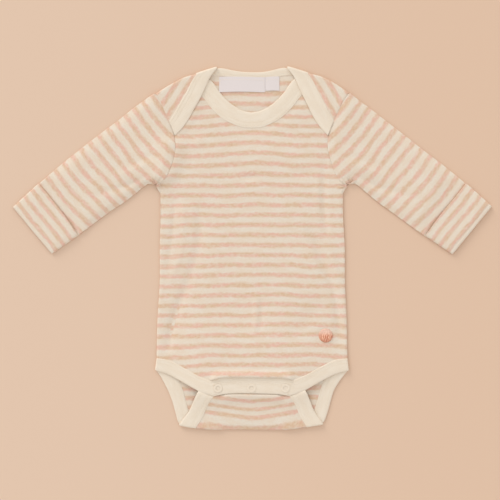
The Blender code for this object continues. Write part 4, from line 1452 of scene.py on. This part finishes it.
def striped_jersey(knit, yarn):
    """Cream single jersey with fuzzy, heathered stripes: a cosine along V, bent and frayed by noise."""
    material, nodes, shader = start_material("striped_jersey", 0.95, Sheen_Weight=0.03, Sheen_Roughness=0.7)
    chart = nodes.chart()
    yarns = nodes.group(yarn, Chart=chart)
    sway = nodes.noise(nodes.scaled(chart, (55, 110, 1)), 1.0)
    fray = nodes.noise(nodes.scaled(chart, (260, 420, 1)), 3.0, 0.7)
    phase = nodes.maths("DIVIDE", nodes.split(chart)[1], STRIPE * MM)
    phase = nodes.maths("ADD", phase, nodes.maths("MULTIPLY_ADD", sway, 0.24, -0.12))
    phase = nodes.maths("ADD", phase, nodes.maths("MULTIPLY_ADD", fray, 0.3, -0.15))
    wave = nodes.maths("COSINE", nodes.times(phase, 2 * math.pi))
    stripe = nodes.band(wave, -0.55, 0.95)
    stripe = nodes.times(stripe, nodes.maths("MULTIPLY_ADD", yarns["Slubs"], 0.75, 0.54))
    light = nodes.mixed(yarns["Patches"], CREAM, WARM_CREAM)
    light = nodes.mixed(nodes.times(yarns["Slubs"], 0.16), light, PALE_TAN)
    light = nodes.mixed(nodes.times(yarns["Fibres"], 0.19), light, TAN)
    dark = nodes.mixed(yarns["Patches"], PINK, TAN)
    dark = nodes.mixed(nodes.times(yarns["Fibres"], 0.5), dark, PALE_TAN)
    colour = nodes.mixed(stripe, light, dark)
    relief_height = nodes.group(knit, Chart=chart, Wale=WALE, Course=COURSE)["Height"]
    height = nodes.maths("ADD", relief_height, nodes.times(yarns["Streaks"], 1.2))
    connect(nodes, shader, colour, height, 0.35, 0.0003)
    return material


def cream_rib(knit, yarn):
    """Undyed rib: every second wale is raised, across the binding, with the knit's stitches on them."""
    material, nodes, shader = start_material("cream_rib", 0.93, Sheen_Weight=0.04, Sheen_Roughness=0.7)
    chart = nodes.chart()
    yarns = nodes.group(yarn, Chart=chart)
    rib = nodes.waves(nodes.split(chart)[0], RIB_PITCH)
    colour = nodes.mixed(yarns["Patches"], RIB_CREAM, RIB_SHADE)
    colour = nodes.mixed(nodes.times(yarns["Fibres"], 0.35), colour, THREAD_CREAM)
    height = nodes.group(knit, Chart=chart, Wale=RIB_WALE, Course=RIB_COURSE)["Height"]
    height = nodes.maths("ADD", height, nodes.times(rib, 0.5))
    connect(nodes, shader, colour, height, 0.3, 0.00025)
    return material


def white_satin():
    """Woven label tape: floats along U with a faint rib, and a soft gloss."""
    material, nodes, shader = start_material("white_satin", 0.5, Sheen_Weight=0.1)
    chart = nodes.chart()
    floats = nodes.noise(nodes.scaled(chart, (700, 6000, 1)), 2.0)
    ridge = nodes.waves(nodes.split(chart)[1], SATIN_PITCH)
    colour = nodes.mixed(floats, SATIN_WHITE, SATIN_SHADE)
    connect(nodes, shader, colour, nodes.maths("ADD", floats, nodes.times(ridge, 0.3)), 0.2, 0.0001)
    return material


def grained(name, roughness, grain, colours, strength, **constants):
    """A plain finish: a fine grain, read from the place, mixes two colours and gives a slight bump."""
    material, nodes, shader = start_material(name, roughness, **constants)
    noise = nodes.noise(nodes.scaled(nodes.place(), (grain, grain, grain)), 1.0)
    connect(nodes, shader, nodes.mixed(noise, *colours), noise, strength, 0.0001)
    return material


def sewing_thread():
    """Cream sewing thread: a grain as fine as its plies."""
    return grained("sewing_thread", 0.6, 4000, (THREAD_CREAM, RIB_SHADE), 0.2, Sheen_Weight=0.2)


def snap_enamel():
    """Cream enamel: smooth, with a very slight orange peel."""
    colours = SNAP_CREAM, RIB_SHADE
    return grained("snap_enamel", 0.6, 900, colours, 0.1, Coat_Weight=0.05, Coat_Roughness=0.4)


def rose_stitching(place):
    """Rose embroidery thread: rays at the rim, upright rows inside it. Its upper half is paler, a painted
    highlight, and its lower half deeper, painted shade, as light from above falls on the dome.
    """
    material, nodes, shader = start_material("rose_stitching", 0.38, Sheen_Weight=0.2)
    spot = nodes.place()
    from_middle = nodes.add("ShaderNodeVectorMath", {0: spot, 1: (*place, 0)}, operation="SUBTRACT")
    x, y, _ = nodes.split(from_middle)
    turned = nodes.maths("ARCTAN2", y, x)
    rays = nodes.maths("SINE", nodes.times(turned, ROSE_RAYS))
    uneven = nodes.noise(nodes.scaled(spot, (500, 260, 1)), 2.0)
    upright = nodes.times(x, 2 * math.pi / ROSE_PITCH)
    rows = nodes.maths("SINE", nodes.maths("MULTIPLY_ADD", uneven, 14.0, upright))
    squared = nodes.maths("ADD", nodes.times(x, x), nodes.times(y, y))
    at_rim = nodes.band(nodes.maths("SQRT", squared), RIM_START, RIM_FULL)
    threads = nodes.add("ShaderNodeMix", {0: at_rim, 2: rows, 3: rays}, data_type="FLOAT")
    colour = nodes.mixed(nodes.band(threads, -1, 0.9), DEEP_ROSE_AND_PAINTED_SHADE, ROSE)
    # painted highlight: the upper half of the patch turns paler
    colour = nodes.mixed(nodes.band(y, 0.0, 0.005, 0.0, 0.65), colour, PAINTED_ROSE_HIGHLIGHT)
    # painted shade: the lower half of the patch turns deeper
    colour = nodes.mixed(nodes.band(y, -0.005, -0.001, 0.4, 0.0), colour, DEEP_ROSE_AND_PAINTED_SHADE)
    connect(nodes, shader, colour, threads, 0.5, 0.0003)
    return material


# ======== the finished garment ========

Cut = namedtuple("Cut", "width length area held rests_on")


def declare(piece, cut, nodes, going=()):
    """A piece of cloth: it rides on the garment and stands for its CAD nodes."""
    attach(piece, "root")
    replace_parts(piece, *nodes)
    for extra in going:
        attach(extra, "root")
    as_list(cut.rests_on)


# Flat sizes in metres: width, length and, for some, area, a tube's all round. Most were set to suit the
# surface of the cloth as built, so comparing that surface with them is no test of its size.
BACK_CUT = Cut(0.200, 0.470, 0.0708, "folded", [])
FRONT_CUT = Cut(0.200, 0.300, 0.0514, "laid", ["back"])
SLEEVE_CUT = Cut(0.190, 0.175, 0.0250, "folded", [])
MITT_CUT = Cut(0.067, 0.036, None, "laid", [])
BINDINGS = {
    "front_neck_binding": ("front_neck_band", Cut(0.033, 0.208, None, "folded", ["back"])),
    "back_neck_binding": ("back_neck_band", Cut(0.033, 0.250, 0.0056, "folded", ["front"])),
    "leg_binding_left": ("leg_band_left", Cut(0.033, 0.170, None, "folded", ["back"])),
    "leg_binding_right": ("leg_band_right", Cut(0.033, 0.170, None, "folded", ["back"])),
    "placket": ("front_placket", Cut(0.033, 0.082, None, "folded", ["stud_strip"])),
    "stud_strip": ("back_placket", Cut(0.0235, 0.072, None, "folded", ["back"])),
}
LABEL_CUTS = {
    "neck_label": Cut(0.0465, 0.0160, None, "laid", ["back"]),
    "size_tab": Cut(0.0145, 0.0145, None, "laid", ["back"]),
}


def make_garment():
    """Every visible piece, on its CAD nodes."""
    knit, yarn = knit_relief_group(), yarn_group()
    jersey, rib, satin = striped_jersey(knit, yarn), cream_rib(knit, yarn), white_satin()
    thread, enamel = sewing_thread(), snap_enamel()

    declare(make_back(jersey), BACK_CUT, ["back_panel"])
    declare(make_front(jersey), FRONT_CUT, ["front_panel"])
    for side, sign in (("left", -1), ("right", 1)):
        sleeve = make_sleeve(side, sign, jersey)
        declare(sleeve, SLEEVE_CUT, ["sleeve_" + side])
        mitt_cut = MITT_CUT._replace(rests_on=[sleeve.name])
        declare(make_mitt(side, sign, jersey), mitt_cut, ["mitt_flap_" + side])
    for name, (piece, rows) in make_bindings(rib, thread).items():
        node, cut = BINDINGS[name]
        declare(piece, cut, [node], [rows])
    for name, cut in LABEL_CUTS.items():
        declare(make_label(name, satin), cut, [name], [label_stitches(name, thread)])

    for node, ring in make_caps(enamel).items():
        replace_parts(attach(ring, "root"), node)
    for name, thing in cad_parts.items():
        if name.startswith(("snap_socket", "snap_stud")):
            thing.data.materials.clear()
            thing.data.materials.append(enamel)
    patch_look = rose_stitching((BADGE.x * MM, BADGE.y * MM))
    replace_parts(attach(make_badge(patch_look), "root"), "hem_badge")


# ======== stage ========

FLOOR_HALF_WIDTH = 2000.0
SUN_STRENGTH, SUN_SPREAD, SUN_FROM = 1.35, 24, (-0.52, 0.8, 0.33)
SKY_STRENGTH = 0.86
LENS, SENSOR = 85, 36
CAMERA_PLACE = (-0.0019, -0.00205, 1.207)


def make_floor():
    """A plain pale floor under the garment, a little darker towards the right: painted shade that stands in
    for the light falling off.
    """
    half = FLOOR_HALF_WIDTH
    corners = np.array(((-half, -half, 0), (half, -half, 0), (half, half, 0), (-half, half, 0)))
    material, nodes, shader = start_material("backdrop", 0.95)
    place = nodes.place()
    grain = nodes.noise(nodes.scaled(place, (900, 900, 900)), 2.0)
    # painted shade: the floor darkens from left to right, as if the light fell off
    painted_falloff = nodes.mixed(nodes.band(nodes.split(place)[0], -0.3, 0.3), BACKDROP, BACKDROP_PAINTED_SHADE_RIGHT)
    colour = nodes.mixed(nodes.times(grain, 0.02), painted_falloff, dye(255, 255, 255))
    nodes.tree.links.new(colour, shader.inputs["Base Color"])
    quads = np.array(((0, 1, 2, 3),))
    make_mesh("floor", corners, [quads], [corners[:, :2][quads] * MM], material)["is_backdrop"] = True


def aim(thing, place, target):
    """Puts a lamp at a place, looking at a target, both in metres."""
    thing.location = place
    way = np.array(target, float) - place
    turn_down = math.acos(-way[2] / np.linalg.norm(way))
    thing.rotation_euler = (turn_down, 0, math.atan2(-way[0], way[1]))


def make_light():
    """A low soft sun from beyond the neck, a little to the left, and a bright even sky."""
    lamp = bpy.data.lights.new("window", "SUN")
    lamp.energy, lamp.angle = SUN_STRENGTH, math.radians(SUN_SPREAD)
    aim(placed("window", lamp), SUN_FROM, (0, 0, 0))
    world = bpy.data.worlds.new("sky")
    world.use_nodes = True
    background = world.node_tree.nodes["Background"].inputs
    background["Color"].default_value = (1, 1, 1, 1)
    background["Strength"].default_value = SKY_STRENGTH
    bpy.context.scene.world = world


def make_camera():
    """A camera straight above, the neck at the top of its frame."""
    lens = bpy.data.cameras.new("camera")
    lens.lens, lens.sensor_width = LENS, SENSOR
    camera = placed("camera", lens)
    camera.location = CAMERA_PLACE
    bpy.context.scene.camera = camera


def main():
    bpy.context.scene.view_settings.view_transform = "Standard"
    make_garment()
    make_floor()
    make_light()
    make_camera()
    boxes = [[list(corner) for corner in box] for box in (CAD_BOX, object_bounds())]


main()
